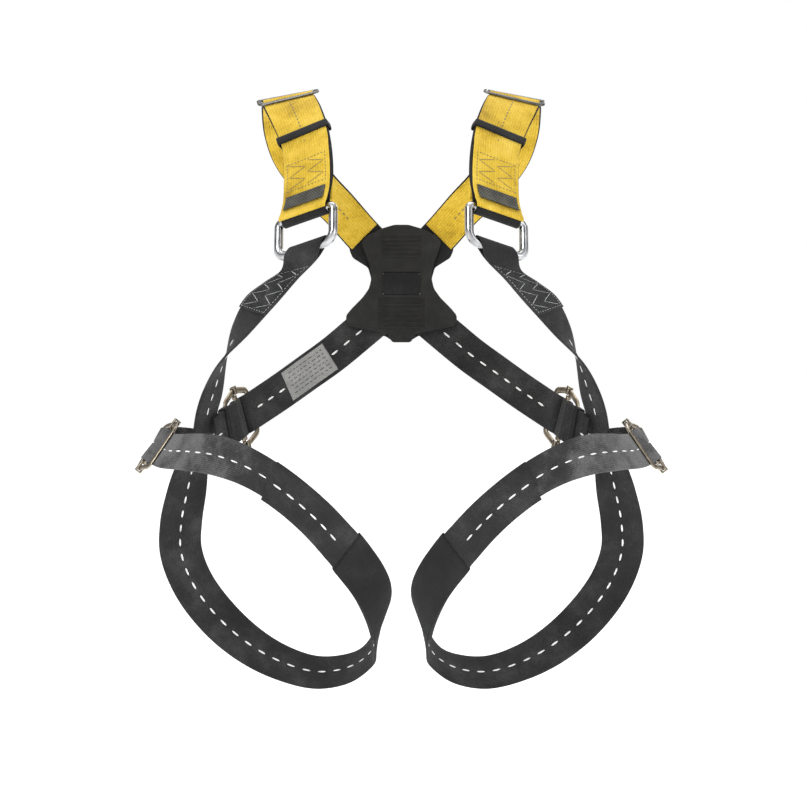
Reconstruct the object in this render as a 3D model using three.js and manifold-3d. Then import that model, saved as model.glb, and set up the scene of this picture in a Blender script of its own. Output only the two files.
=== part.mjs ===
// Full-body safety harness in its worn shape, in millimetres.
// +X is the wearer's left, -Y is ahead of the wearer and +Z is up.
// The origin is the middle of the webbing band on the inner face of the back plate.
import * as THREE from 'three';
import { mergeVertices } from 'three/addons/utils/BufferGeometryUtils.js';
import Module from 'manifold-3d';

const wasm = await Module();
wasm.setup();

// ---- Driving dimensions -------------------------------------------------------------------
const GAP = 0.4;                 // clearance left between two layers that touch
const WEBBING = { width: 45, thick: 2.2 };
const LEG = { width: 50, thick: 2.4 };
const SHOULDER = { core: 61, face: 58, thick: 1.6, coreThick: 2, narrowing: 15, atRing: 54 };
const DOUBLED = { shoulder: 74, side: 104 };     // length of strap sewn back on itself at a ring
const NECK = 20;                 // where a turned strap's two layers come together
const RING = { width: 68, height: 40, wire: 5, near: 6, corner: 11 };
const DORSAL_RING = { width: 64, height: 52, wire: 5, near: 9, corner: 22 };
const ADJUSTER = { reach: 22, half: 26, tip: 32.3, flat: 4.5, bar: 7.4, thick: 3.6, lift: 3.4 };
const SLIDER = { wide: 5, thick: 2.5, hook: 1.8 };
const KEEPER = { from: 28, to: 38, clear: 0.9, wall: 1.1 };   // distances past an adjuster
const TAB_RETURN = 42;           // length of an adjuster's tab sewn back on itself
const BACK_TAIL = 45;            // free end of the back strap past its adjuster
const THIGH_TAIL = 52;           // free end of the thigh strap past its buckle
const PATCH = { width: 49, thick: 1.2, from: 8.6, to: 25 };
const SHOULDER_KEEPER = { long: 11, clear: 0.9, wall: 1.2 };
const LABEL = { length: 70, width: 37, thick: 0.6 };
const CREST = { reach: 12, half: 34, bar: 4.4, thick: 3, corner: 3, middle: 4 };
const CREST_RISE = [[8.8, 0.4], [5.6, 2.5]];     // the face climbing over the slide's middle bar
const CREST_FLAT = 3;
const PLATE = { face: 2.6, thick: 4, strapPlane: 10.2, backFace: 14, backThick: 4 };
const RIBS = [
  { first: 33, count: 6, pitch: 5.2, half: 24 }, { first: -20, count: 7, pitch: -5.6, half: 28 },
];
const RIB = { wide: 2.6, tall: 1.1 };
const SLOT = { half: 23.4, at: 12, tall: 4.4 };
const SCREWS = { top: [0, 60], bottom: [0, -62], right: [-31, 4], left: [31, 4] };
const SCREW = { head: 3.6, headTall: 1.8, shank: 1.4, hole: 2.1, pilot: 1.7, boss: 3.4 };
const DORSAL = { y: 28, z: 0 };
const STEP = 9;                  // longest facet along a strap
const FINE = 5;                  // facet length where a strap bends tightly

const COLOURS = {
  yellow: [0xe0ae1c, 0.85, 0], webbing: [0x2f3032, 0.9, 0], elastic: [0x1c1c1e, 0.9, 0],
  grip: [0x45464a, 0.8, 0], plastic: [0x2b2b2d, 0.6, 0], aluminium: [0xc9cccf, 0.3, 1],
  bronze: [0x9a8a72, 0.4, 1], steel: [0x8d8f92, 0.35, 1], label: [0x9b9c9e, 0.6, 0],
};

const materials = {};
for (const [name, [color, roughness, metalness]] of Object.entries(COLOURS)) {
  materials[name] = new THREE.MeshStandardMaterial({ name, color, roughness, metalness });
}

// ---- Strap routes -------------------------------------------------------------------------
// Each station is a point on the strap's centre plane and the direction across its width,
// given for the wearer's right side.
const SHOULDER_ROUTE = [
  [[-103, -262, 58], [0.87, -0.38, 0.26]],
  [[-101, -252, 88], [0.87, -0.38, 0.27]],
  [[-102, -238, 118], [0.86, -0.40, 0.28]],
  [[-107, -217, 147], [0.86, -0.38, 0.30]],
  [[-116, -191, 172], [0.90, -0.28, 0.28]],
  [[-126, -159, 194], [0.96, -0.12, 0.22]],
  [[-131, -124, 204], [0.98, 0.0, 0.18]],
  [[-134, -90, 200], [0.97, -0.06, 0.20]],
  [[-134, -62, 180], [0.92, -0.18, 0.28]],
  [[-126, -40, 151], [0.84, -0.30, 0.42]],
  [[-104, -20, 119], [0.72, -0.34, 0.58]],
  [[-75, -2, 90], [0.68, -0.16, 0.66]],
  [[-50, 9, 62], [0.70, 0, 0.70]],
  [[-27, 10.2, 38], [0.70, 0, 0.70]],
];
const SIDE_ROUTE = [
  [[-103, -272, 19.3], [0.87, -0.38, 0.26]],
  [[-108.6, -270, 4.8], [0.86, -0.42, 0.26]],
  [[-130, -255.5, -13], [0.80, -0.59, 0.04]],
  [[-154, -234, -34], [0.74, -0.64, -0.22]],
  [[-178, -204, -62], [0.50, -0.84, -0.24]],
  [[-202, -172, -98], [-0.04, -0.99, -0.06]],
  [[-215, -151, -131], [-0.34, -0.92, 0.12]],
  [[-224, -137.5, -156], [-0.42, -0.90, 0.04]],
  [[-229, -129, -182], [-0.44, -0.90, -0.04]],
];
const BACK_ROUTE = [
  [[-26, 10.2, -38], [0.60, 0, -0.78]],
  [[-52, 9, -60], [0.60, 0, -0.78]],
  [[-84, 0, -87], [0.52, -0.10, -0.80]],
  [[-115, -14, -110], [0.46, -0.16, -0.84]],
  [[-143, -34, -131], [0.38, -0.16, -0.88]],
  [[-168, -58, -149], [0.30, -0.14, -0.92]],
  [[-190, -87, -165], [0.24, -0.12, -0.94]],
  [[-207, -112, -178], [0.18, -0.10, -0.96]],
  [[-218, -131, -187], [0.14, -0.08, -0.98]],
];
const LEG_ROUTE = [
  [[-235, -126, -176], [0.46, 0.87, -0.08]],
  [[-241, -115, -212], [0.60, 0.79, -0.10]],
  [[-250, -99, -248], [0.84, 0.52, -0.08]],
  [[-259, -80, -286], [0.95, 0.26, 0.02]],
  [[-261, -64, -322], [0.95, 0.12, 0.20]],
  [[-248, -50, -362], [0.86, 0.10, 0.48]],
  [[-220, -40, -402], [0.66, 0.24, 0.70]],
  [[-184, -34, -435], [0.42, 0.48, 0.76]],
  [[-146, -31, -457], [0.20, 0.64, 0.74]],
  [[-104, -33, -469], [-0.02, 0.72, 0.70]],
  [[-68, -44, -464], [-0.20, 0.80, 0.56]],
  [[-40, -66, -446], [-0.20, 0.90, 0.36]],
  [[-27, -100, -417], [0.12, 0.72, 0.66]],
  [[-24, -138, -384], [0.40, 0.30, 0.86]],
  [[-36, -178, -348], [0.50, -0.12, 0.86]],
  [[-62, -213, -309], [0.58, -0.30, 0.76]],
  [[-94, -238, -270], [0.54, -0.40, 0.74]],
  [[-132, -249, -237], [0.42, -0.40, 0.82]],
  [[-168, -239, -216], [0.30, -0.28, 0.90]],
  [[-205, -213, -204], [0.26, -0.02, 0.96]],
  [[-239, -179, -201], [0.34, 0.22, 0.92]],
  [[-266, -141, -201], [0.45, 0.28, 0.84]],
  [[-281, -102, -198], [0.60, 0.20, 0.78]],
  [[-293, -68, -197], [0.48, 0.14, 0.86]],
  [[-287, -38, -197], [0.20, 0.18, 0.96]],
  [[-263, -28, -198], [0.02, 0.10, 0.99]],
  [[-243, -44, -199], [-0.04, 0.02, 1.0]],
  [[-244, -72, -201], [-0.06, 0.0, 1.0]],
  [[-255, -104, -204], [-0.08, 0.0, 1.0]],
];

// A strap's route: a smooth curve through its stations, measured by distance along it.
class Route {
  constructor(stations) {
    const points = stations.map(([point]) => new THREE.Vector3(...point));
    const across = stations.map(([, direction]) => new THREE.Vector3(...direction));
    this.curve = new THREE.CatmullRomCurve3(points, false, 'centripetal');
    this.acrossCurve = new THREE.CatmullRomCurve3(across, false, 'catmullrom', 0.5);
    this.curve.arcLengthDivisions = 40 * stations.length;
    this.stations = stations.length;
    this.length = this.curve.getLength();
  }

  // Distance along the route of a station, which may be a fraction between two.
  distance(station) {
    const lengths = this.curve.getLengths();
    const index = (station / (this.stations - 1)) * (lengths.length - 1);
    const low = Math.min(Math.floor(index), lengths.length - 2);
    return lengths[low] + (lengths[low + 1] - lengths[low]) * (index - low);
  }

  // Point, across, outward and along directions at a distance.
  frame(distance) {
    const inside = Math.min(Math.max(distance, 0), this.length);
    const t = this.curve.getUtoTmapping(inside / this.length);
    const point = this.curve.getPoint(t);
    const along = this.curve.getTangent(t);
    const across = this.acrossCurve.getPoint(t).normalize();
    const outward = new THREE.Vector3().crossVectors(across, along).normalize();
    point.addScaledVector(along, distance - inside);
    return { point, along, across, outward };
  }

  // Turns (distance, across, outward) into a point in space on one side of the body.
  placer(side) {
    return (s, w, n) => {
      const f = this.frame(s);
      const p = f.point.addScaledVector(f.across, w).addScaledVector(f.outward, n);
      return new THREE.Vector3(p.x * side, p.y, p.z);
    };
  }
}

const RIGHT = 1;
const LEFT = -1;
const routes = {
  shoulder: new Route(SHOULDER_ROUTE),
  side: new Route(SIDE_ROUTE),
  back: new Route(BACK_ROUTE),
  leg: new Route(LEG_ROUTE),
};

// ---- Closed solids ------------------------------------------------------------------------
function solid(vertices, triangles) {
  let volume = 0;
  for (const [a, b, c] of triangles) {
    volume += vertices[a].dot(new THREE.Vector3().crossVectors(vertices[b], vertices[c]));
  }
  const faces = volume < 0 ? triangles.map(([a, b, c]) => [a, c, b]) : triangles;
  const geometry = new THREE.BufferGeometry();
  const positions = vertices.flatMap((v) => [v.x, v.y, v.z]);
  geometry.setAttribute('position', new THREE.Float32BufferAttribute(positions, 3));
  geometry.setIndex(faces.flat());
  geometry.computeVertexNormals();
  return geometry;
}

// Joins rings of points, each with the same count, into a closed skin. The far half of each ring
// has its quads cut along the other diagonal, so that a twisted strip's two faces stay parallel.
function skin(rings, closed, caps) {
  const count = rings[0].length;
  const triangles = [];
  const last = closed ? rings.length : rings.length - 1;
  for (let i = 0; i < last; i += 1) {
    const next = (i + 1) % rings.length;
    for (let j = 0; j < count; j += 1) {
      const k = (j + 1) % count;
      const quad = [i * count + j, i * count + k, next * count + k, next * count + j];
      const [a, b, c, d] = j < count / 2 ? quad : [quad[1], quad[2], quad[3], quad[0]];
      triangles.push([a, b, c], [a, c, d]);
    }
  }
  if (!closed) {
    const offset = (rings.length - 1) * count;
    for (const [a, b, c] of caps) {
      triangles.push([a, c, b], [offset + a, offset + b, offset + c]);
    }
  }
  return solid(rings.flat(), triangles);
}

// Stations of a straight run at one height. They fall on whole multiples of step, so that
// layers laid on each other have their facets in the same places.
function run(from, to, height, step = STEP) {
  const low = Math.min(from, to);
  const high = Math.max(from, to);
  const stations = [low];
  for (let s = (Math.floor(low / step) + 1) * step; s < high - 0.3 * step; s += step) {
    if (s > low + 0.3 * step) stations.push(s);
  }
  stations.push(high);
  if (from > to) stations.reverse();
  return stations.map((s) => [s, height]);
}

// Arc of a bend round a bar, in degrees from the direction along the strap.
function bend(centre, height, radius, from, to, pieces) {
  return Array.from({ length: pieces + 1 }, (_, i) => {
    const angle = THREE.MathUtils.degToRad(from + ((to - from) * i) / pieces);
    return [centre + radius * Math.cos(angle), height + radius * Math.sin(angle)];
  });
}

// A layer of webbing. Its path is its side view: distance along the route and height off it.
function band(place, path, width, thick) {
  const widthAt = typeof width === 'function' ? width : () => width;
  const rings = path.map(([s, n], i) => {
    const [s0, n0] = path[Math.max(i - 1, 0)];
    const [s1, n1] = path[Math.min(i + 1, path.length - 1)];
    const before = Math.atan2(n - n0, s - s0);
    const after = Math.atan2(n1 - n, s1 - s);
    const start = i === 0 ? after : before;
    const end = i === path.length - 1 ? before : after;
    const turn = Math.atan2(Math.sin(end - start), Math.cos(end - start));
    const angle = start + turn / 2;
    const half = thick / 2 / Math.cos(turn / 2);
    const ds = -Math.sin(angle) * half;
    const dn = Math.cos(angle) * half;
    const w = widthAt(s) / 2;
    return [
      place(s - ds, -w, n - dn), place(s - ds, w, n - dn),
      place(s + ds, w, n + dn), place(s + ds, -w, n + dn),
    ];
  });
  return skin(rings, false, [[0, 1, 2], [0, 2, 3]]);
}

// A closed band: its path is a loop in the side view.
function loopBand(place, path, width, thick) {
  const count = path.length;
  const rings = path.map(([s, n], i) => {
    const [s0, n0] = path[(i + count - 1) % count];
    const [s1, n1] = path[(i + 1) % count];
    const start = Math.atan2(n - n0, s - s0);
    const end = Math.atan2(n1 - n, s1 - s);
    const turn = Math.atan2(Math.sin(end - start), Math.cos(end - start));
    const half = thick / 2 / Math.cos(turn / 2);
    const ds = -Math.sin(start + turn / 2) * half;
    const dn = Math.cos(start + turn / 2) * half;
    const w = width / 2;
    return [
      place(s - ds, -w, n - dn), place(s - ds, w, n - dn),
      place(s + ds, w, n + dn), place(s + ds, -w, n + dn),
    ];
  });
  return skin(rings, true, []);
}

// A rectangular tube round a strap: half width, lowest and highest height, wall.
function collar(place, from, to, half, low, high, wall) {
  const stations = run(from, to, 0, FINE).map(([s]) => s);
  const corners = (w, bottom, top) => [[-w, bottom], [w, bottom], [w, top], [-w, top]];
  const outer = corners(half + wall, low - wall, high + wall);
  const inner = corners(half, low, high);
  const loops = [
    ...stations.map((s) => outer.map(([w, n]) => place(s, w, n))),
    ...stations.reverse().map((s) => inner.map(([w, n]) => place(s, w, n))),
  ];
  return skin(loops, true, []);
}

// A prism along the strap whose outline is drawn across it: width and height.
function prism(place, outline, from, to) {
  const contour = outline.map(([w, n]) => new THREE.Vector2(w, n));
  const caps = THREE.ShapeUtils.triangulateShape(contour, []);
  const rings = [from, to].map((s) => outline.map(([w, n]) => place(s, w, n)));
  return skin(rings, false, caps);
}

// A closed hoop of bar: its outline is drawn in the strap's plane, its section is an oval.
function hoop(place, outline, height, wide, thick, sides = 8) {
  const count = outline.length;
  const rings = outline.map(([s, w], i) => {
    const before = new THREE.Vector2(...outline[(i + count - 1) % count]);
    const here = new THREE.Vector2(s, w);
    const after = new THREE.Vector2(...outline[(i + 1) % count]);
    const start = here.clone().sub(before).angle();
    const end = after.clone().sub(here).angle();
    const turn = Math.atan2(Math.sin(end - start), Math.cos(end - start));
    const angle = start + turn / 2;
    const stretch = 1 / Math.cos(turn / 2);
    return Array.from({ length: sides }, (_, j) => {
      const phi = (2 * Math.PI * (j + 0.5)) / sides;
      const reach = (wide / 2) * Math.cos(phi) * stretch;
      const rise = (thick / 2) * Math.sin(phi);
      return place(s + Math.sin(angle) * reach, w - Math.cos(angle) * reach, height + rise);
    });
  });
  return skin(rings, true, []);
}

// Outline of a D-shaped ring: a straight bar at distance 0 and round corners at the far end.
function ringOutline({ width, height, near, corner }) {
  const half = width / 2;
  const shape = new THREE.Path();
  shape.moveTo(0, -half + near);
  shape.lineTo(0, half - near);
  shape.absarc(near, half - near, near, Math.PI, Math.PI / 2, true);
  shape.lineTo(height - corner, half);
  shape.absarc(height - corner, half - corner, corner, Math.PI / 2, 0, true);
  shape.lineTo(height, -half + corner);
  shape.absarc(height - corner, -half + corner, corner, 0, -Math.PI / 2, true);
  shape.lineTo(near, -half);
  shape.absarc(near, -half + near, near, -Math.PI / 2, -Math.PI, true);
  const points = shape.getPoints(5).map((p) => [p.x, p.y]);
  return points.filter(([s, w], i) => {
    const [s0, w0] = points[(i + points.length - 1) % points.length];
    return Math.hypot(s - s0, w - w0) > 0.5;
  });
}

// A boolean join or cut of closed geometries.
function toManifold(geometry) {
  const bare = geometry.clone();
  bare.deleteAttribute('normal');
  bare.deleteAttribute('uv');
  const merged = mergeVertices(bare, 1e-4);
  return new wasm.Manifold(new wasm.Mesh({
    numProp: 3,
    vertProperties: Float32Array.from(merged.attributes.position.array),
    triVerts: Uint32Array.from(merged.index.array),
  }));
}

function fromManifold(manifold) {
  const { numProp, vertProperties, triVerts } = manifold.getMesh();
  const positions = [];
  for (let i = 0; i < vertProperties.length; i += numProp) {
    positions.push(...vertProperties.slice(i, i + 3));
  }
  const geometry = new THREE.BufferGeometry();
  geometry.setAttribute('position', new THREE.Float32BufferAttribute(positions, 3));
  geometry.setIndex([...triVerts]);
  geometry.computeVertexNormals();
  return geometry;
}

// ---- The harness --------------------------------------------------------------------------
const harness = new THREE.Group();
harness.name = 'safety_harness';

function add(name, geometry, material) {
  const mesh = new THREE.Mesh(geometry, materials[material]);
  mesh.name = name;
  harness.add(mesh);
}

// A strap that turns back round a bar at distance 0: the main run is above, the return below.
// A strap that leaves the bar at a slant has its bend drawn out along the strap by skew.
function turnedEnd(route, wire, thick, far, back) {
  const { along, across } = route.frame(0);
  const skew = 1 / along.clone().cross(across).length();
  const leg = (thick + GAP) / 2 + 0.1;
  const radius = wire + GAP + 0.3 + thick / 2;
  const turn = bend(0, 0, radius, 50, 310, 12).map(([s, n]) => [s * skew, n]);
  return [
    ...run(back, NECK, -leg), [NECK * 0.55, -leg - 1.8], ...turn.reverse(),
    [NECK * 0.55, leg + 1.8], ...run(NECK, far, leg),
  ];
}

// Shoulder strap: a black core that turns round the front ring, faced with yellow webbing.
function shoulderStrap(side, prefix) {
  const route = routes.shoulder;
  const place = route.placer(side);
  const end = route.length;
  const taperFrom = route.distance(8);
  const taperTo = route.distance(11.5);
  const { smoothstep } = THREE.MathUtils;
  const taper = (wide, atRing) => (s) => wide + (atRing - wide) * (1 - smoothstep(s, 8, 40))
    - SHOULDER.narrowing * smoothstep(s, taperFrom, taperTo);
  const coreLeg = (SHOULDER.coreThick + GAP) / 2 + 0.1;
  const layer = (SHOULDER.coreThick + SHOULDER.thick) / 2 + GAP;
  const doubled = DOUBLED.shoulder;
  const core = turnedEnd(route, RING.wire, SHOULDER.coreThick, end, doubled);
  const hung = core.map(([s, n]) => [s, -n]);
  const coreWidth = taper(SHOULDER.core, SHOULDER.atRing);
  const faceWidth = taper(SHOULDER.face, SHOULDER.face);
  add(`${prefix}_shoulder_core`, band(place, hung, coreWidth, SHOULDER.coreThick), 'webbing');

  const faceHeight = coreLeg + layer;
  const lowFace = -coreLeg + layer;
  const crest = route.distance(5.5);
  const hump = lowFace + CREST.thick + 0.6;
  const faceEnd = route.distance(12.2);
  const turnRadius = RING.wire + 2 * GAP + 0.3 + SHOULDER.coreThick + SHOULDER.thick / 2;
  const falling = [...CREST_RISE].reverse().map(([s, n]) => [crest + s, lowFace + n]);
  const face = [
    ...bend(0, 0, turnRadius, 110, 50, 4), [12.6, faceHeight + 1.9], [NECK, faceHeight + 0.2],
    ...run(28, doubled + 2, faceHeight), ...run(doubled + 14, crest - CREST.reach, lowFace),
    ...CREST_RISE.map(([s, n]) => [crest - s, lowFace + n]), [crest - CREST_FLAT, hump],
    [crest + CREST_FLAT, hump], ...falling,
    ...run(crest + CREST.reach, faceEnd, lowFace),
  ];
  add(`${prefix}_shoulder_webbing`, band(place, face, faceWidth, SHOULDER.thick), 'yellow');
  const liningHeight = -coreLeg - layer;
  const lining = [
    [11, liningHeight - 2.3], [NECK, liningHeight - 0.3], ...run(28, faceEnd, liningHeight),
  ];
  add(`${prefix}_shoulder_lining`, band(place, lining, faceWidth, SHOULDER.thick), 'yellow');

  const patchLift = (SHOULDER.thick + PATCH.thick) / 2 + GAP + 0.3;
  const patch = [
    [PATCH.from, faceHeight + patchLift + 4], [12.6, faceHeight + patchLift + 2.2],
    [NECK + 0.5, faceHeight + patchLift + 0.3], [PATCH.to, faceHeight + patchLift],
  ];
  add(`${prefix}_grip_patch`, band(place, patch, PATCH.width, PATCH.thick), 'grip');

  // The crest slide's two outer bars cross over the yellow face and its middle bar under it.
  const slideHeight = lowFace + SHOULDER.thick / 2 + GAP + CREST.thick / 2 + 0.3;
  const { half, corner, reach: out } = CREST;
  const frameOutline = [
    [crest - out, corner - half], [crest - out, half - corner], [crest - out + corner, half],
    [crest + out - corner, half], [crest + out, half - corner], [crest + out, corner - half],
    [crest + out - corner, -half], [crest - out + corner, -half],
  ];
  const frame = hoop(place, frameOutline, slideHeight, CREST.bar, CREST.thick);
  const low = -coreLeg + SHOULDER.coreThick / 2 + GAP;
  const high = hump - SHOULDER.thick / 2 - GAP;
  const reach = half - 0.5;
  const barOutline = [
    [-reach, slideHeight + 1], [-reach, slideHeight - 1.2], [-reach + 5, low], [reach - 5, low],
    [reach, slideHeight - 1.2], [reach, slideHeight + 1], [reach - 2, slideHeight + 1],
    [reach - 5, high], [-reach + 5, high], [-reach + 2, slideHeight + 1],
  ];
  const bar = prism(place, barOutline, crest - CREST.middle / 2, crest + CREST.middle / 2);
  add(`${prefix}_crest_slide`, fromManifold(toManifold(frame).add(toManifold(bar))), 'steel');

  const keeperAt = route.distance(3.2);
  const { long, clear, wall } = SHOULDER_KEEPER;
  add(`${prefix}_shoulder_keeper`, collar(place, keeperAt - long / 2, keeperAt + long / 2,
    SHOULDER.core / 2 + clear, liningHeight - SHOULDER.thick / 2 - clear,
    lowFace + SHOULDER.thick / 2 + clear, wall), 'elastic');
}

// A placer for a flat ring that hangs from the bar at the start of the shoulder route.
function ringPlacer(side) {
  const top = routes.shoulder.frame(0);
  const low = routes.side.frame(0);
  const down = low.point.clone().sub(top.point).normalize();
  const across = top.across.clone();
  const outward = new THREE.Vector3().crossVectors(down, across).normalize();
  return (s, w, n) => {
    const p = top.point.clone().addScaledVector(down, s).addScaledVector(across, w);
    p.addScaledVector(outward, n);
    return new THREE.Vector3(p.x * side, p.y, p.z);
  };
}

function frontRing(side, prefix) {
  const outline = ringOutline(RING);
  const ring = hoop(ringPlacer(side), outline, 0, 2 * RING.wire, 2 * RING.wire, 10);
  add(`${prefix}_front_ring`, ring, 'aluminium');
}

function sideStrap(side, prefix) {
  const route = routes.side;
  const path = turnedEnd(route, RING.wire, WEBBING.thick, route.length, DOUBLED.side);
  add(`${prefix}_side_strap`, band(route.placer(side), path, WEBBING.width, WEBBING.thick),
    'webbing');
}

// An adjuster: a hexagonal frame whose floating middle bar carries a fixed tab. The long strap
// passes under one side bar, over the middle bar and under the other side bar.
function adjusterFrame(place, at) {
  const { reach, half, tip, flat, bar, thick, lift } = ADJUSTER;
  const outline = [
    [at - reach, -half], [at - reach, half], [at - flat, tip], [at + flat, tip],
    [at + reach, half], [at + reach, -half], [at + flat, -tip], [at - flat, -tip],
  ];
  return hoop(place, outline, lift, bar, thick);
}

function adjusterBar(place, at) {
  const { tip, bar, thick, lift } = ADJUSTER;
  const gap = 0.5;
  const half = SLIDER.thick / 2;
  const inner = tip - bar / 2 - gap;
  const outer = tip + bar / 2 + gap;
  const wall = outer + SLIDER.hook;
  const top = thick / 2 + gap;
  const lip = top + SLIDER.hook;
  const quarter = [
    [inner - 0.8, -half], [inner - 0.8, top], [outer, top], [outer, -top], [inner, -top],
    [inner, -lip], [wall, -lip], [wall, lip], [inner - 3.5, lip], [inner - 5.5, half],
  ];
  const mirrored = quarter.map(([w, n]) => [-w, n]).reverse();
  const outline = [...quarter, ...mirrored].map(([w, n]) => [w, n + lift]);
  return prism(place, outline, at - SLIDER.wide / 2, at + SLIDER.wide / 2);
}

// The long strap's side view through an adjuster, from one end to its free tail.
function threadedPath(from, at, tail, step) {
  const { lift } = ADJUSTER;
  const top = lift + SLIDER.thick / 2 + 2 * GAP + 1.5 * WEBBING.thick + 0.3;
  return [
    ...run(from, at - 13.5, 0, step), [at - 10.4, lift - 0.4], [at - 8, lift + 3.4],
    [at - 5, top], [at + 5, top], [at + 8, lift + 3.4], [at + 10.4, lift - 0.4],
    ...run(at + 13.5, tail, 0, step),
  ];
}

// The fixed tab's side view: in below the tail, round the middle bar and back on itself.
function tabPath(at, end, back, step) {
  const { lift } = ADJUSTER;
  const layer = WEBBING.thick + GAP;
  const radius = SLIDER.thick / 2 + GAP + WEBBING.thick / 2;
  const edge = SLIDER.wide / 2;
  return [
    ...run(end, at + 12, -2 * layer - 0.6, step), [at + 5.6, -2.1],
    ...bend(at - edge + 0.5, lift, radius, 270, 90, 6),
    ...bend(at + edge - 0.5, lift, radius, 90, 20, 3),
    [at + 8.4, -0.2],
    ...run(at + 14, back, -layer - 0.3, step),
  ];
}

// Frame, floating bar, fixed tab and tail keeper of an adjuster.
function adjuster(route, place, at, tab, frame, keeper) {
  add(tab, band(place, tabPath(at, route.length, at + TAB_RETURN, FINE), WEBBING.width,
    WEBBING.thick), 'webbing');
  add(frame, adjusterFrame(place, at), 'bronze');
  add(`${frame}_bar`, adjusterBar(place, at), 'bronze');
  const { from, to, clear, wall } = KEEPER;
  const half = WEBBING.thick / 2;
  const lowest = -2 * (WEBBING.thick + GAP) - half - 1;
  add(keeper, collar(place, at + from, at + to, WEBBING.width / 2 + clear, lowest, half + clear,
    wall), 'elastic');
}

// Back strap from the back plate to the adjuster behind the hip, with its tab and tail.
function backStrap(side, prefix) {
  const route = routes.back;
  const place = route.placer(side);
  const at = route.distance(5.85);
  const path = threadedPath(0, at, at + BACK_TAIL, STEP);
  add(`${prefix}_back_strap`, band(place, path, WEBBING.width, WEBBING.thick), 'webbing');
  adjuster(route, place, at, `${prefix}_back_tab`, `${prefix}_back_adjuster`,
    `${prefix}_back_keeper`);
}

// Leg loop: the strap under the thigh and through the crotch, and the strap that closes it.
function legLoop(side, prefix) {
  const route = routes.leg;
  const place = route.placer(side);
  const seam = route.distance(17.3);
  const inner = route.distance(15.6);
  const at = route.distance(22);
  const layer = LEG.thick + GAP;
  const under = [...run(0, inner - 30, 0), ...run(inner - 18, seam, layer)];
  add(`${prefix}_leg_strap`, band(place, under, LEG.width, LEG.thick), 'webbing');
  const closing = threadedPath(inner - 6, at, at + THIGH_TAIL, STEP);
  add(`${prefix}_thigh_strap`, band(place, closing, WEBBING.width, WEBBING.thick), 'webbing');
  adjuster(route, place, at, `${prefix}_hip_tab`, `${prefix}_hip_buckle`,
    `${prefix}_hip_keeper`);
  add(`${prefix}_crotch_sleeve`, collar(place, route.distance(12.6), inner - 36,
    LEG.width / 2 + 1, -LEG.thick / 2 - 1, LEG.thick / 2 + 1, 1), 'elastic');
}

// ---- Back plate ---------------------------------------------------------------------------
function mirroredShape(halfOutline) {
  const left = halfOutline.map(([x, z]) => [-x, z]).reverse();
  return new THREE.Shape([...halfOutline, ...left].map(([x, z]) => new THREE.Vector2(x, z)));
}

function addSlots(shape) {
  for (const z of [-SLOT.at, SLOT.at]) {
    const hole = new THREE.Path();
    hole.moveTo(-SLOT.half, z - SLOT.tall / 2);
    hole.lineTo(SLOT.half, z - SLOT.tall / 2);
    hole.lineTo(SLOT.half, z + SLOT.tall / 2);
    hole.lineTo(-SLOT.half, z + SLOT.tall / 2);
    hole.closePath();
    shape.holes.push(hole);
  }
}

// A shape drawn in X and Z, given thickness from one Y to another.
function slab(shape, from, to) {
  const geometry = new THREE.ExtrudeGeometry(shape, { depth: to - from, bevelEnabled: false });
  geometry.rotateX(Math.PI / 2);
  geometry.translate(0, to, 0);
  return geometry;
}

function box(x0, x1, y0, y1, z0, z1) {
  const geometry = new THREE.BoxGeometry(x1 - x0, y1 - y0, z1 - z0);
  return geometry.translate((x0 + x1) / 2, (y0 + y1) / 2, (z0 + z1) / 2);
}

function post(x, z, radius, from, to, sides = 12) {
  const geometry = new THREE.CylinderGeometry(radius, radius, to - from, sides);
  return geometry.translate(x, (from + to) / 2, z);
}

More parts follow.
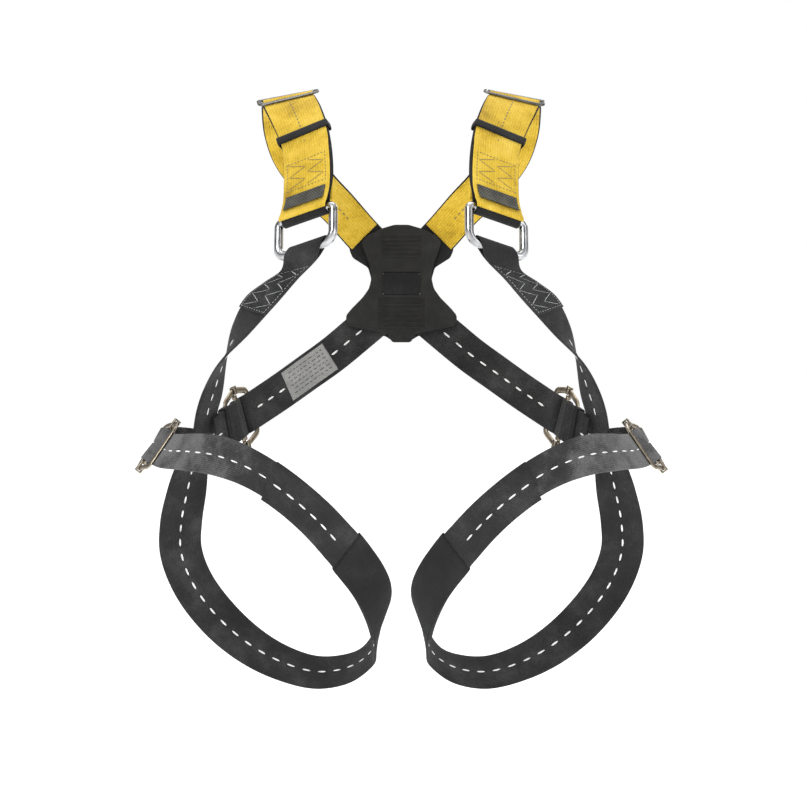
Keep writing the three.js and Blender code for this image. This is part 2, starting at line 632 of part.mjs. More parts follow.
function backPlate() {
  const inner = mirroredShape([
    [11.5, -72], [17, -61], [48, -56], [65, -52], [67.5, -48], [67.5, -39], [60, -30], [48, -18],
    [39, -6], [36, 6], [38, 20], [43, 34], [49, 50], [43, 58], [24, 67], [8.5, 71.5],
  ]);
  addSlots(inner);
  const back = PLATE.face + PLATE.thick;
  let plate = toManifold(slab(inner, PLATE.face, back));
  for (const { first, count, pitch, half } of RIBS) {
    for (let i = 0; i < count; i += 1) {
      const z = first + i * pitch;
      const rib = box(-half, half, PLATE.face - RIB.tall, PLATE.face + 1, z - RIB.wide / 2,
        z + RIB.wide / 2);
      plate = plate.add(toManifold(rib));
    }
  }
  for (const [x, z] of Object.values(SCREWS)) {
    const boss = toManifold(post(x, z, SCREW.boss, back - 1, PLATE.backFace - 0.4));
    const pilot = toManifold(post(x, z, SCREW.pilot, back - 0.5, PLATE.backFace));
    plate = plate.add(boss).subtract(pilot);
  }
  add('back_plate_inner', fromManifold(plate), 'plastic');

  const outer = mirroredShape([
    [11, -70], [20, -64], [58, -58], [66, -50], [64, -36], [50, -20], [40, -6], [37, 6], [41, 20],
    [60, 32], [64, 42], [63, 54], [48, 62], [24, 68], [8, 70.5],
  ]);
  addSlots(outer);
  let cover = toManifold(slab(outer, PLATE.backFace, PLATE.backFace + PLATE.backThick));
  for (const [x, z] of Object.values(SCREWS)) {
    const hole = post(x, z, SCREW.hole, PLATE.backFace - 1, PLATE.backFace + PLATE.backThick + 1);
    cover = cover.subtract(toManifold(hole));
  }
  add('back_plate_outer', fromManifold(cover), 'plastic');
  const headFrom = PLATE.backFace + PLATE.backThick + 0.3;
  for (const [name, [x, z]] of Object.entries(SCREWS)) {
    const shank = toManifold(post(x, z, SCREW.shank, back + 1.2, headFrom + 0.5));
    const head = toManifold(post(x, z, SCREW.head, headFrom, headFrom + SCREW.headTall));
    add(`plate_screw_${name}`, fromManifold(head.add(shank)), 'steel');
  }

  // A webbing patch that the four straps are sewn to, with the ring's loop passed through it.
  const patch = mirroredShape([[34, -58], [44, -44], [30, -14], [26.5, 0], [30, 14], [42, 40],
    [30, 52]]);
  addSlots(patch);
  const layer = PLATE.strapPlane + SHOULDER.coreThick / 2 + GAP + 0.2;
  const anchor = slab(patch, layer, layer + 1.7);
  add('strap_anchor_patch', fromManifold(toManifold(anchor)), 'webbing');
}

// Dorsal ring, hanging behind the plate from a closed loop of webbing.
function dorsalRing() {
  const flat = (s, w, n) => new THREE.Vector3(w, n, s);
  const half = WEBBING.thick / 2;
  const radius = DORSAL_RING.wire + GAP + 0.2 + half;
  const path = [
    [-SLOT.at + 1.6, half], [-6, half], [0, half], [6, half], [SLOT.at - 1.6, half],
    [SLOT.at, half + 1.6], [SLOT.at, 10], [SLOT.at, PLATE.backFace + PLATE.backThick + 0.5],
    ...bend(DORSAL.z, DORSAL.y, radius, 0, 180, 8),
    [-SLOT.at, PLATE.backFace + PLATE.backThick + 0.5], [-SLOT.at, 10], [-SLOT.at, half + 1.6],
  ];
  add('dorsal_loop', loopBand(flat, path, WEBBING.width, WEBBING.thick), 'webbing');
  const hang = (s, w, n) => new THREE.Vector3(w, DORSAL.y + n, DORSAL.z - s);
  const outline = ringOutline(DORSAL_RING);
  const ring = hoop(hang, outline, 0, 2 * DORSAL_RING.wire, 2 * DORSAL_RING.wire, 10);
  add('dorsal_ring', ring, 'aluminium');
}

for (const [side, prefix] of [[RIGHT, 'right'], [LEFT, 'left']]) {
  shoulderStrap(side, prefix);
  frontRing(side, prefix);
  sideStrap(side, prefix);
  backStrap(side, prefix);
  legLoop(side, prefix);
}
backPlate();
dorsalRing();

// Inspection label sewn to the inner face of the right back strap.
const labelRoute = routes.back;
const labelFrom = labelRoute.distance(2.1);
const labelHeight = -(WEBBING.thick + LABEL.thick) / 2 - GAP;
add('inspection_label', band(labelRoute.placer(RIGHT),
  run(labelFrom, labelFrom + LABEL.length, labelHeight), LABEL.width, LABEL.thick), 'label');

export default harness;
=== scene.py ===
"""A full-body safety harness in its worn shape, dressed round its CAD frame.

Strap routes, layer heights and hardware sizes are in millimetres, as in the CAD model, and
become metres when a mesh is made. +X is the wearer's left, -Y is ahead, +Z is up.
"""
import math
import random
import bpy
import numpy as np
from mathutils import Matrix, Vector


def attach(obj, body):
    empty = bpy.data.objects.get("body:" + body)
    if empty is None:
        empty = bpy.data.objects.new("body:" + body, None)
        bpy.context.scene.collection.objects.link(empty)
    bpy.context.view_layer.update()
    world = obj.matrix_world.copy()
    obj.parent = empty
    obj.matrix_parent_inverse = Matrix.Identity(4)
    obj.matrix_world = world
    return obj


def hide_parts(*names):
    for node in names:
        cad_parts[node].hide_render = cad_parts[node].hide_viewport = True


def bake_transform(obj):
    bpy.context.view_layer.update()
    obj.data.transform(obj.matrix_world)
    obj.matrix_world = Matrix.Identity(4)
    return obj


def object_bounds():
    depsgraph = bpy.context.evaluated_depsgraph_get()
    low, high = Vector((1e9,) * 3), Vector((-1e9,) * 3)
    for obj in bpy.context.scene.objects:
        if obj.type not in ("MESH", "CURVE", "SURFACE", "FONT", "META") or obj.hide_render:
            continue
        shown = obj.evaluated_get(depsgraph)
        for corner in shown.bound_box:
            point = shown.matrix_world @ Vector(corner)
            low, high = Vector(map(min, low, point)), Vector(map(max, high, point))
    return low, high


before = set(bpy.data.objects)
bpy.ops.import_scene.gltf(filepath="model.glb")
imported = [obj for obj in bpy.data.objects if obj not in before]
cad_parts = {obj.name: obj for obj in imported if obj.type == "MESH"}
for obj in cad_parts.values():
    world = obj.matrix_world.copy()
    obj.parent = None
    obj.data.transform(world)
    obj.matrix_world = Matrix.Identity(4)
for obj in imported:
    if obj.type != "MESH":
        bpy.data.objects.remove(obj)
cad_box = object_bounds()

MM = 0.001
GAP = 0.4
WEB_WIDTH, WEB_THICK = 45.0, 2.2
LEG_WIDTH, LEG_THICK = 50.0, 2.4
CORE_WIDTH, FACE_WIDTH, RING_END_WIDTH, NARROWING = 61.0, 58.0, 54.0, 15.0
CORE_THICK, FACE_THICK = 2.0, 1.6
WIRE = 5.0
ADJ_REACH, ADJ_HALF, ADJ_TIP, ADJ_FLAT = 22, 26, 32.3, 4.5
ADJ_BAR, ADJ_THICK, ADJ_LIFT = 7.4, 3.6, 3.4
SLIDER_WIDE, SLIDER_THICK, SLIDER_HOOK = 5.0, 2.5, 1.8
CREST_REACH, CREST_HALF, CREST_BAR, CREST_THICK = 12, 34, 4.4, 3.0
SLOT_AT = 12.0
TAB_JOIN, DOUBLED_TAB = 46.0, 42.0
BACK_TAIL, THIGH_TAIL = 45, 52
NECK = 20
STITCH_LIFT = 0.15
KEEPER_HALF, KEEPER_CLEAR = 5.5, 0.9
RING_WIDTH, RING_HEIGHT, RING_NEAR, RING_CORNER = 68, 40, 6, 11
DORSAL_WIDTH, DORSAL_HEIGHT, DORSAL_NEAR, DORSAL_CORNER = 64, 52, 9, 22
RIBS = ((33, 6, 5.2, 24), (-20, 7, -5.6, 28))
DOUBLED, DOUBLED_SIDE = 74.0, 104
SIDE_JOIN = 150.0
LABEL_LENGTH, LABEL_WIDTH, LABEL_THICK = 70.0, 37.0, 0.6
DORSAL_Y = 28.0
SIDES = (("right", 1), ("left", -1))

# Each station is a point on the centre plane, then the direction across the strap.
SHOULDER_ROUTE = [
    (-103, -262, 58, 0.87, -0.38, 0.26), (-101, -252, 88, 0.87, -0.38, 0.27),
    (-102, -238, 118, 0.86, -0.40, 0.28), (-107, -217, 147, 0.86, -0.38, 0.30),
    (-116, -191, 172, 0.90, -0.28, 0.28), (-126, -159, 194, 0.96, -0.12, 0.22),
    (-131, -124, 204, 0.98, 0.0, 0.18), (-134, -90, 200, 0.97, -0.06, 0.20),
    (-134, -62, 180, 0.92, -0.18, 0.28), (-126, -40, 151, 0.84, -0.30, 0.42),
    (-104, -20, 119, 0.72, -0.34, 0.58), (-75, -2, 90, 0.68, -0.16, 0.66),
    (-50, 9, 62, 0.70, 0, 0.70), (-27, 10.2, 38, 0.70, 0, 0.70),
]
SIDE_ROUTE = [
    (-103, -272, 19.3, 0.87, -0.38, 0.26), (-108.6, -270, 4.8, 0.86, -0.42, 0.26),
    (-130, -255.5, -13, 0.80, -0.59, 0.04), (-154, -234, -34, 0.74, -0.64, -0.22),
    (-178, -204, -62, 0.50, -0.84, -0.24), (-202, -172, -98, -0.04, -0.99, -0.06),
    (-215, -151, -131, -0.34, -0.92, 0.12), (-224, -137.5, -156, -0.42, -0.90, 0.04),
    (-229, -129, -182, -0.44, -0.90, -0.04),
]
BACK_ROUTE = [
    (-26, 10.2, -38, 0.60, 0, -0.78), (-52, 9, -60, 0.60, 0, -0.78),
    (-84, 0, -87, 0.52, -0.10, -0.80), (-115, -14, -110, 0.46, -0.16, -0.84),
    (-143, -34, -131, 0.38, -0.16, -0.88), (-168, -58, -149, 0.30, -0.14, -0.92),
    (-190, -87, -165, 0.24, -0.12, -0.94), (-207, -112, -178, 0.18, -0.10, -0.96),
    (-218, -131, -187, 0.14, -0.08, -0.98),
]
LEG_ROUTE = [
    (-235, -126, -176, 0.46, 0.87, -0.08), (-241, -115, -212, 0.60, 0.79, -0.10),
    (-250, -99, -248, 0.84, 0.52, -0.08), (-259, -80, -286, 0.95, 0.26, 0.02),
    (-261, -64, -322, 0.95, 0.12, 0.20), (-248, -50, -362, 0.86, 0.10, 0.48),
    (-220, -40, -402, 0.66, 0.24, 0.70), (-184, -34, -435, 0.42, 0.48, 0.76),
    (-146, -31, -457, 0.20, 0.64, 0.74), (-104, -33, -469, -0.02, 0.72, 0.70),
    (-68, -44, -464, -0.20, 0.80, 0.56), (-40, -66, -446, -0.20, 0.90, 0.36),
    (-27, -100, -417, 0.12, 0.72, 0.66), (-24, -138, -384, 0.40, 0.30, 0.86),
    (-36, -178, -348, 0.50, -0.12, 0.86), (-62, -213, -309, 0.58, -0.30, 0.76),
    (-94, -238, -270, 0.54, -0.40, 0.74), (-132, -249, -237, 0.42, -0.40, 0.82),
    (-168, -239, -216, 0.30, -0.28, 0.90), (-205, -213, -204, 0.26, -0.02, 0.96),
    (-239, -179, -201, 0.34, 0.22, 0.92), (-266, -141, -201, 0.45, 0.28, 0.84),
    (-281, -102, -198, 0.60, 0.20, 0.78), (-293, -68, -197, 0.48, 0.14, 0.86),
    (-287, -38, -197, 0.20, 0.18, 0.96), (-263, -28, -198, 0.02, 0.10, 0.99),
    (-243, -44, -199, -0.04, 0.02, 1.0), (-244, -72, -201, -0.06, 0.0, 1.0),
    (-255, -104, -204, -0.08, 0.0, 1.0),
]


# ---- Routes ----
def spline(points, per_segment, centripetal):
    """A Catmull-Rom curve through the points, as a dense array."""
    points = np.asarray(points, float)
    padded = np.vstack([2 * points[0] - points[1], points, 2 * points[-1] - points[-2]])
    out = []
    for i in range(len(points) - 1):
        p0, p1, p2, p3 = padded[i:i + 4]
        if centripetal:
            d0, d1, d2 = (np.linalg.norm(b - a) ** 0.5 for a, b in ((p0, p1), (p1, p2), (p2, p3)))
            m1 = ((p1 - p0) / d0 - (p2 - p0) / (d0 + d1) + (p2 - p1) / d1) * d1
            m2 = ((p2 - p1) / d1 - (p3 - p1) / (d1 + d2) + (p3 - p2) / d2) * d1
        else:
            m1, m2 = 0.5 * (p2 - p0), 0.5 * (p3 - p1)
        t = (np.arange(per_segment) / per_segment)[:, None]
        out.append(p1 + t * (m1 + t * (-3 * p1 + 3 * p2 - 2 * m1 - m2
                                       + t * (2 * p1 - 2 * p2 + m1 + m2))))
    return np.vstack([*out, points[-1:]])


def circle(count):
    return np.linspace(0, 2 * math.pi, count, endpoint=False)


def unit(v):
    return v / np.linalg.norm(v, axis=-1, keepdims=True)


class Route:
    """A strap's centre plane: point, across and outward directions by distance."""
    PER_SEGMENT = 60

    def __init__(self, stations):
        stations = np.array(stations, float)
        self.points = spline(stations[:, :3], self.PER_SEGMENT, True)
        self.across = unit(spline(stations[:, 3:], self.PER_SEGMENT, False))
        steps = np.linalg.norm(np.diff(self.points, axis=0), axis=1)
        self.distances = np.concatenate([[0], np.cumsum(steps)])
        self.along = unit(np.gradient(self.points, self.distances, axis=0))
        self.outward = unit(np.cross(self.across, self.along))
        self.length = self.distances[-1]

    def distance(self, station):
        return float(np.interp(station * self.PER_SEGMENT, np.arange(len(self.distances)),
                               self.distances))

    def at(self, table, s):
        return np.stack([np.interp(s, self.distances, table[:, i]) for i in range(3)], -1)

    def place(self, s, w, n, side):
        s, w, n = np.broadcast_arrays(*(np.asarray(v, float) for v in (s, w, n)))
        beyond = (s - np.clip(s, 0, self.length))[..., None]
        p = self.at(self.points, s) + self.at(self.along, s) * beyond
        p = p + self.at(self.across, s) * w[..., None] + self.at(self.outward, s) * n[..., None]
        return p * np.array([side, 1, 1])


class Flat:
    """A flat frame with the same call as a route: origin, along, across and outward."""

    def __init__(self, origin, along, across):
        self.origin = np.asarray(origin, float)
        self.dir_s, self.dir_w = np.asarray(along, float), np.asarray(across, float)
        self.dir_n = unit(np.cross(self.dir_s, self.dir_w))

    def place(self, s, w, n, side=1):
        s, w, n = np.broadcast_arrays(*(np.asarray(v, float) for v in (s, w, n)))
        p = self.origin + s[..., None] * self.dir_s + w[..., None] * self.dir_w
        return (p + n[..., None] * self.dir_n) * np.array([side, 1, 1])


shoulder = Route(SHOULDER_ROUTE)
side_run = Route(SIDE_ROUTE)
back = Route(BACK_ROUTE)
leg = Route(LEG_ROUTE)
LABEL_FROM = back.distance(2.1)


# ---- Mesh making ----
def link_object(name, data):
    obj = bpy.data.objects.new(name, data)
    bpy.context.scene.collection.objects.link(obj)
    return obj


def new_object(name, vertices, faces, material, smooth=True, weave=None):
    """A mesh object in metres. weave is each vertex's place on the cloth, in millimetres."""
    vertices = np.asarray(vertices, float).reshape(-1, 3) * MM
    mesh = bpy.data.meshes.new(name)
    mesh.from_pydata(vertices.tolist(), [], [list(map(int, f)) for f in faces])
    if weave is not None:
        layer = mesh.attributes.new("weave", "FLOAT_VECTOR", "POINT")
        layer.data.foreach_set("vector", np.asarray(weave, float).ravel())
    mesh.update()
    volume = sum(
        np.dot(vertices[f[0]], np.cross(vertices[f[i]], vertices[f[i + 1]]))
        for f in faces for i in range(1, len(f) - 1))
    if volume < 0:
        mesh.flip_normals()
    if smooth:
        mesh.polygons.foreach_set("use_smooth", [True] * len(mesh.polygons))
    mesh.materials.append(material)
    return link_object(name, mesh)


def tube_faces(rows, columns, closed_rows, offset=0):
    """Quads of a skin whose rows are rings of columns points."""
    faces = []
    for i in range(rows if closed_rows else rows - 1):
        j = (i + 1) % rows
        for a in range(columns):
            b = (a + 1) % columns
            faces.append([offset + i * columns + a, offset + i * columns + b,
                          offset + j * columns + b, offset + j * columns + a])
    if not closed_rows:
        faces.append([offset + a for a in range(columns)][::-1])
        faces.append([offset + (rows - 1) * columns + a for a in range(columns)])
    return faces


class Parts:
    """Gathers many small closed shapes into one mesh."""

    def __init__(self):
        self.vertices, self.faces, self.weave, self.count = [], [], [], 0

    def add(self, grid, closed_rows=False, weave=None):
        rows, columns = grid.shape[:2]
        self.faces += tube_faces(rows, columns, closed_rows, self.count)
        self.vertices.append(grid.reshape(-1, 3))
        self.weave.append(np.zeros((rows * columns, 3)) if weave is None else weave.reshape(-1, 3))
        self.count += rows * columns

    def build(self, name, material, smooth=True):
        return new_object(name, np.vstack(self.vertices), self.faces, material, smooth,
                          np.vstack(self.weave))


def resample(path, step=2.5, rounds=2):
    """A path in side view with its corners eased and its points evenly spaced."""
    path = np.asarray(path, float)
    for _ in range(rounds):
        low, high = 0.8 * path[:-1] + 0.2 * path[1:], 0.2 * path[:-1] + 0.8 * path[1:]
        path = np.vstack([path[:1], np.stack([low, high], 1).reshape(-1, 2), path[-1:]])
    d = np.concatenate([[0], np.cumsum(np.linalg.norm(np.diff(path, axis=0), axis=1))])
    count = max(2, int(round(d[-1] / step)) + 1)
    at = np.linspace(0, d[-1], count)
    return np.stack([np.interp(at, d, path[:, 0]), np.interp(at, d, path[:, 1])], 1), at


def strap_section(half, thick, columns=9, lip=0.9):
    """Outline of webbing seen end on: flat faces, slightly fuller selvedges, round edges."""
    inner = np.linspace(-1, 1, columns) * (half - lip)
    profile = 1 + 0.10 * np.abs(inner / half) ** 6
    top = [(w, thick / 2 * p) for w, p in zip(inner, profile)]
    edge = [(half - 0.28 * lip, 0.34 * thick), (half, 0.0), (half - 0.28 * lip, -0.34 * thick)]
    bottom = [(w, -n) for w, n in reversed(top)]
    return np.array(top + edge + bottom + [(-w, -n) for w, n in edge])


def band(name, route, side, path, width, thick, material, step=2.5, closed=False, rounds=2):
    """A layer of webbing whose path is its side view: distance and height."""
    if closed:
        path = np.vstack([path, path[:1]])
    points, at = resample(path, step, rounds)
    if closed:
        points, at = points[:-1], at[:-1]
        tangent = np.roll(points, -1, 0) - np.roll(points, 1, 0)
    else:
        tangent = np.gradient(points, axis=0)
    normal = unit(np.stack([-tangent[:, 1], tangent[:, 0]], 1))
    widths = width(points[:, 0]) if callable(width) else np.full(len(points), float(width))
    section = strap_section(1.0, 1.0, lip=0.9 / (np.mean(widths) / 2))
    w = section[None, :, 0] * widths[:, None] / 2
    h = np.broadcast_to(section[None, :, 1] * thick, w.shape)
    s = points[:, :1] + normal[:, :1] * h
    n = points[:, 1:] + normal[:, 1:] * h
    grid = route.place(s, w, n, side)
    weave = np.stack([w, np.broadcast_to(at[:, None], w.shape), h], -1)
    parts = Parts()
    parts.add(grid, closed, weave)
    return parts.build(name, material)


def run(start, end, height):
    return [(start, height), (end, height)]


def bend(centre, height, radius, start, end, count, skew=1.0):
    angles = np.radians(np.linspace(start, end, count + 1))
    return [(centre + skew * radius * math.cos(a), height + radius * math.sin(a)) for a in angles]


def collar(name, route, side, start, end, half, low, high, wall, material, rounding=1.6):
    """A flat tube round a strap, with round corners and a slight barrel along it."""
    def rounded(w, bottom, top, radius):
        points = []
        x, low_z, high_z = w - radius, bottom + radius, top - radius
        for cx, cz, first in ((x, high_z, 0), (-x, high_z, 90), (-x, low_z, 180), (x, low_z, 270)):
            for angle in np.radians(np.linspace(first, first + 90, 5)):
                points.append((cx + radius * math.cos(angle), cz + radius * math.sin(angle)))
        return np.array(points)
    outer = rounded(half + wall, low - wall, high + wall, rounding)
    inner = rounded(half, low, high, rounding * 0.6)
    stations = np.linspace(start, end, max(3, int((end - start) / 2.5) + 1))
    rows, weave = [], []
    rim = 1 - 0.35 * wall / (half + wall)
    for s in stations:
        narrow = rim if s in (stations[0], stations[-1]) else 1
        rows.append(route.place(s, outer[:, 0] * narrow, outer[:, 1], side))
        weave.append(np.stack([outer[:, 0], np.full(len(outer), s), outer[:, 1]], -1))
    for s in stations[::-1]:
        rows.append(route.place(s, inner[:, 0], inner[:, 1], side))
        weave.append(np.stack([inner[:, 0], np.full(len(inner), s), inner[:, 1]], -1))
    parts = Parts()
    parts.add(np.array(rows), True, np.array(weave))
    return parts.build(name, material)


def round_outline(points, radius, count=5):
    """A closed outline with each corner replaced by a short arc."""
    points = np.asarray(points, float)
    out = []
    for i, here in enumerate(points):
        before, after = points[i - 1], points[(i + 1) % len(points)]
        a, b = unit(before - here), unit(after - here)
        shorter = min(np.linalg.norm(before - here), np.linalg.norm(after - here))
        reach = min(radius, 0.45 * shorter)
        for t in np.linspace(0, 1, count):
            out.append((1 - t) ** 2 * (here + a * reach) + 2 * t * (1 - t) * here
                       + t ** 2 * (here + b * reach))
    return np.array(out)


def densify(points, step=3.0):
    out = []
    for a, b in zip(points, np.roll(points, -1, 0)):
        count = max(1, int(np.linalg.norm(b - a) / step))
        out += [a + (b - a) * i / count for i in range(count)]
    return np.array(out)


def hoop(parts, route, side, outline, height, wide, thick, sides=20):
    """A closed hoop of oval bar lying in a strap's plane."""
    outline = densify(outline)
    tangent = unit(np.roll(outline, -1, 0) - np.roll(outline, 1, 0))
    angles = circle(sides)
    reach, rise = wide / 2 * np.cos(angles), thick / 2 * np.sin(angles)
    s = outline[:, :1] + tangent[:, 1:] * reach[None]
    w = outline[:, 1:] - tangent[:, :1] * reach[None]
    parts.add(route.place(s, w, height + np.broadcast_to(rise, s.shape), side), True)


def ring_outline(width, height, near, corner, count=10):
    half = width / 2
    far, side = height - corner, half - corner
    centres = ((near, half - near, near, 180, 90), (far, side, corner, 90, 0),
               (far, -side, corner, 0, -90), (near, near - half, near, -90, -180))
    points = []
    for cs, cw, radius, first, last in centres:
        for angle in np.radians(np.linspace(first, last, count)):
            points.append((cs + radius * math.cos(angle), cw + radius * math.sin(angle)))
    return np.array(points)


def bead(parts, route, side, s, w, n, length, wide, tall, turn=0.0, rows=7, columns=8):
    """One stitch: a rounded length of thread lying on the cloth."""
    t = np.linspace(-1, 1, rows)
    swell = np.sqrt(np.clip(1 - np.abs(t) ** 3.2, 0.02, 1))
    angles = circle(columns)
    ds = t[:, None] * length / 2 + 0 * angles
    dw = swell[:, None] * wide / 2 * np.cos(angles)
    dn = swell[:, None] * tall / 2 * np.sin(angles)
    c, k = math.cos(turn), math.sin(turn)
    grid = route.place(s + ds * c - dw * k, w + ds * k + dw * c, n + dn, side)
    parts.add(grid)


def dashes(parts, route, side, start, end, height, pitch=19.5, length=10.0, wide=2.2):
    """A row of long stitches on one face."""
    count = int((end - start) // pitch)
    slack = (end - start - count * pitch) / 2
    for i in range(count + 1):
        bead(parts, route, side, start + slack + i * pitch, 0, height, length, wide, 0.9)


def zigzag(parts, route, side, start, end, low, high, height, pitch, thread=0.9):
    """A zigzag of thread across a strap, from one edge of a box to the other."""
    count = max(1, int((end - start) / pitch))
    step = (end - start) / count
    for i in range(count):
        a, b = (low, high) if i % 2 == 0 else (high, low)
        length = math.hypot(step, b - a)
        bead(parts, route, side, start + (i + 0.5) * step, (a + b) / 2, height, length, thread,
             0.7, math.atan2(b - a, step), rows=9, columns=6)


def box_stitch(parts, route, side, start, end, half, height, pitch=4.2, thread=0.9):
    """A rectangle of short stitches."""
    places = [(s, w, 0) for s in np.arange(start, end, pitch) for w in (-half, half)]
    places += [(s, w, math.pi / 2) for w in np.arange(-half + pitch / 2, half, pitch)
               for s in (start, end)]
    for s, w, turn in places:
        bead(parts, route, side, s, w, height, 0.66 * pitch, thread, 0.7, turn, rows=5, columns=6)


# ---- Materials ----
def srgb(colour):
    def linear(c):
        return c / 12.92 if c <= 0.04045 else ((c + 0.055) / 1.055) ** 2.4
    return tuple(linear(c / 255) for c in colour) + (1.0,)


class Nodes:
    """Short calls for building the node tree of a material or of the world."""

    def __init__(self, owner):
        owner.use_nodes = True
        self.owner = owner
        self.tree = owner.node_tree
        self.shader = self.tree.nodes.get("Principled BSDF")

    def node(self, kind, **values):
        node = self.tree.nodes.new(kind)
        for key, value in values.items():
            setattr(node, key, value)
        return node

    def link(self, source, target):
        self.tree.links.new(source, target)

    def math(self, operation, a, b=None, c=None):
        node = self.node("ShaderNodeMath", operation=operation)
        for socket, value in zip(node.inputs, (a, b, c)):
            if value is None:
                continue
            if isinstance(value, (int, float)):
                socket.default_value = value
            else:
                self.link(value, socket)
        return node.outputs[0]

    def noise(self, vector, scale, detail=3.0, roughness=0.55):
        node = self.node("ShaderNodeTexNoise")
        self.link(vector, node.inputs["Vector"])
        node.inputs["Scale"].default_value = scale
        node.inputs["Detail"].default_value = detail
        node.inputs["Roughness"].default_value = roughness
        return node.outputs["Fac"]

    def ramp(self, factor, stops):
        node = self.node("ShaderNodeValToRGB")
        elements = node.color_ramp.elements
        while len(elements) < len(stops):
            elements.new(0.5)
        for element, (position, colour) in zip(elements, stops):
            element.position = position
            element.color = colour
        self.link(factor, node.inputs["Fac"])
        return node.outputs["Color"]

    def place(self):
        return self.node("ShaderNodeTexCoord").outputs["Object"]

    def weave(self):
        """Place on the cloth: across, along and height."""
        split = self.node("ShaderNodeSeparateXYZ")
        attribute = self.node("ShaderNodeAttribute", attribute_name="weave")
        self.link(attribute.outputs["Vector"], split.inputs[0])
        return split.outputs

    def bump(self, height, distance, strength=1.0):
        node = self.node("ShaderNodeBump")
        node.inputs["Strength"].default_value = strength
        node.inputs["Distance"].default_value = distance
        self.link(height, node.inputs["Height"])
        self.link(node.outputs["Normal"], self.shader.inputs["Normal"])

    def colour(self, source):
        self.link(source, self.shader.inputs["Base Color"])

    def set(self, **values):
        for key, value in values.items():
            self.shader.inputs[key.replace("_", " ")].default_value = value


def wave(n, coordinate, period):
    """A 0 to 1 wave of that period, in millimetres."""
    turned = n.math("MULTIPLY", coordinate, 2 * math.pi / period)
    return n.math("MULTIPLY_ADD", n.math("SINE", turned), 0.5, 0.5)


def webbing_material(name, dark, base, light, rib=2.2, pick=1.5, sheen=0.05, wear=0.5,
                     painted_light_ramp=None):
    """Woven webbing: lengthwise ribs, cross picks and worn patches, with optional painted light
    that brightens it along its length.
    """
    n = Nodes(bpy.data.materials.new(name))
    across, along, _ = n.weave()
    ribs = wave(n, across, rib)
    row = n.math("FLOOR", n.math("DIVIDE", across, rib / 2))
    shifted = n.math("MULTIPLY_ADD", row, pick / 2, along)
    picks = wave(n, shifted, pick)
    cloth = n.math("MULTIPLY_ADD", ribs, 0.6, n.math("MULTIPLY", picks, 0.4))
    place = n.place()
    patches = n.noise(place, 26.0, 5.0, 0.62)
    fibres = n.noise(place, 420.0, 2.0)
    shade = n.math("ADD", n.math("MULTIPLY", patches, 1.0 + wear),
                   n.math("MULTIPLY_ADD", fibres, 0.35, n.math("MULTIPLY_ADD", cloth, 0.22, -0.52)))
    # Painted light: a ramp along the strap that lifts the tone towards the light stop.
    if painted_light_ramp:
        low, high, amount = painted_light_ramp
        span = n.node("ShaderNodeMapRange")
        n.link(along, span.inputs["Value"])
        for socket, value in (("From Min", low), ("From Max", high), ("To Max", amount)):
            span.inputs[socket].default_value = value
        shade = n.math("ADD", shade, span.outputs["Result"])
    n.colour(n.ramp(shade, ((0.12, srgb(dark)), (0.5, srgb(base)), (0.92, srgb(light)))))
    n.set(Roughness=0.86, Sheen_Weight=sheen, Sheen_Roughness=0.5, Specular_IOR_Level=0.28)
    height = n.math("MULTIPLY_ADD", fibres, 0.35, cloth)
    n.bump(height, 0.00035, 0.9)
    return n.owner


def metal_material(name, base, dark, roughness, scratch=0.5, grain=90.0):
    """Metal with soft handling marks, duller in patches."""
    n = Nodes(bpy.data.materials.new(name))
    place = n.place()
    patches = n.noise(place, grain, 5.0, 0.6)
    fine = n.noise(place, 900.0, 3.0, 0.7)
    n.colour(n.ramp(n.math("MULTIPLY_ADD", fine, 0.3, n.math("MULTIPLY", patches, 0.8)),
                    ((0.25, srgb(dark)), (0.62, srgb(base)))))
    rough = n.math("MULTIPLY_ADD", patches, scratch * 0.4, roughness - scratch * 0.2)
    n.link(rough, n.shader.inputs["Roughness"])
    n.set(Metallic=1.0)
    n.bump(n.math("MULTIPLY_ADD", fine, 0.4, patches), 0.00012, 0.5)
    return n.owner


def plastic_material(name, base, worn, roughness=0.55):
    """Moulded plastic: fine grain, with paler scuffs."""
    n = Nodes(bpy.data.materials.new(name))
    place = n.place()
    scuffs = n.noise(place, 60.0, 6.0, 0.7)
    n.colour(n.ramp(scuffs, ((0.42, srgb(base)), (0.78, srgb(worn)))))
    n.set(Roughness=roughness, Specular_IOR_Level=0.25)
    grain = n.node("ShaderNodeTexVoronoi")
    n.link(place, grain.inputs["Vector"])
    grain.inputs["Scale"].default_value = 1400.0
    n.bump(n.math("MULTIPLY_ADD", scuffs, 0.5, grain.outputs["Distance"]), 0.00012, 0.5)
    return n.owner


def hatched_material(name, base, line):
    """Rubber with a raised diagonal hatch, paler where it stands up."""
    n = Nodes(bpy.data.materials.new(name))
    hatch = n.weave()[2]
    soil = n.noise(n.place(), 90.0, 4.0)
    n.colour(n.ramp(n.math("MULTIPLY_ADD", soil, 0.5, n.math("MULTIPLY", hatch, 0.6)),
                    ((0.3, srgb(base)), (0.85, srgb(line)))))
    n.set(Roughness=0.8, Specular_IOR_Level=0.3)
    n.bump(soil, 0.0002, 0.5)
    return n.owner


def thread_material(name, base, dark):
    """Sewing thread: a twisted ply with slight soiling."""
    n = Nodes(bpy.data.materials.new(name))
    place = n.place()
    soil = n.noise(place, 150.0, 4.0)
    n.colour(n.ramp(soil, ((0.3, srgb(dark)), (0.6, srgb(base)))))
    n.set(Roughness=0.8, Sheen_Weight=0.2)
    n.bump(n.noise(place, 2200.0, 2.0), 0.00015, 0.6)
    return n.owner


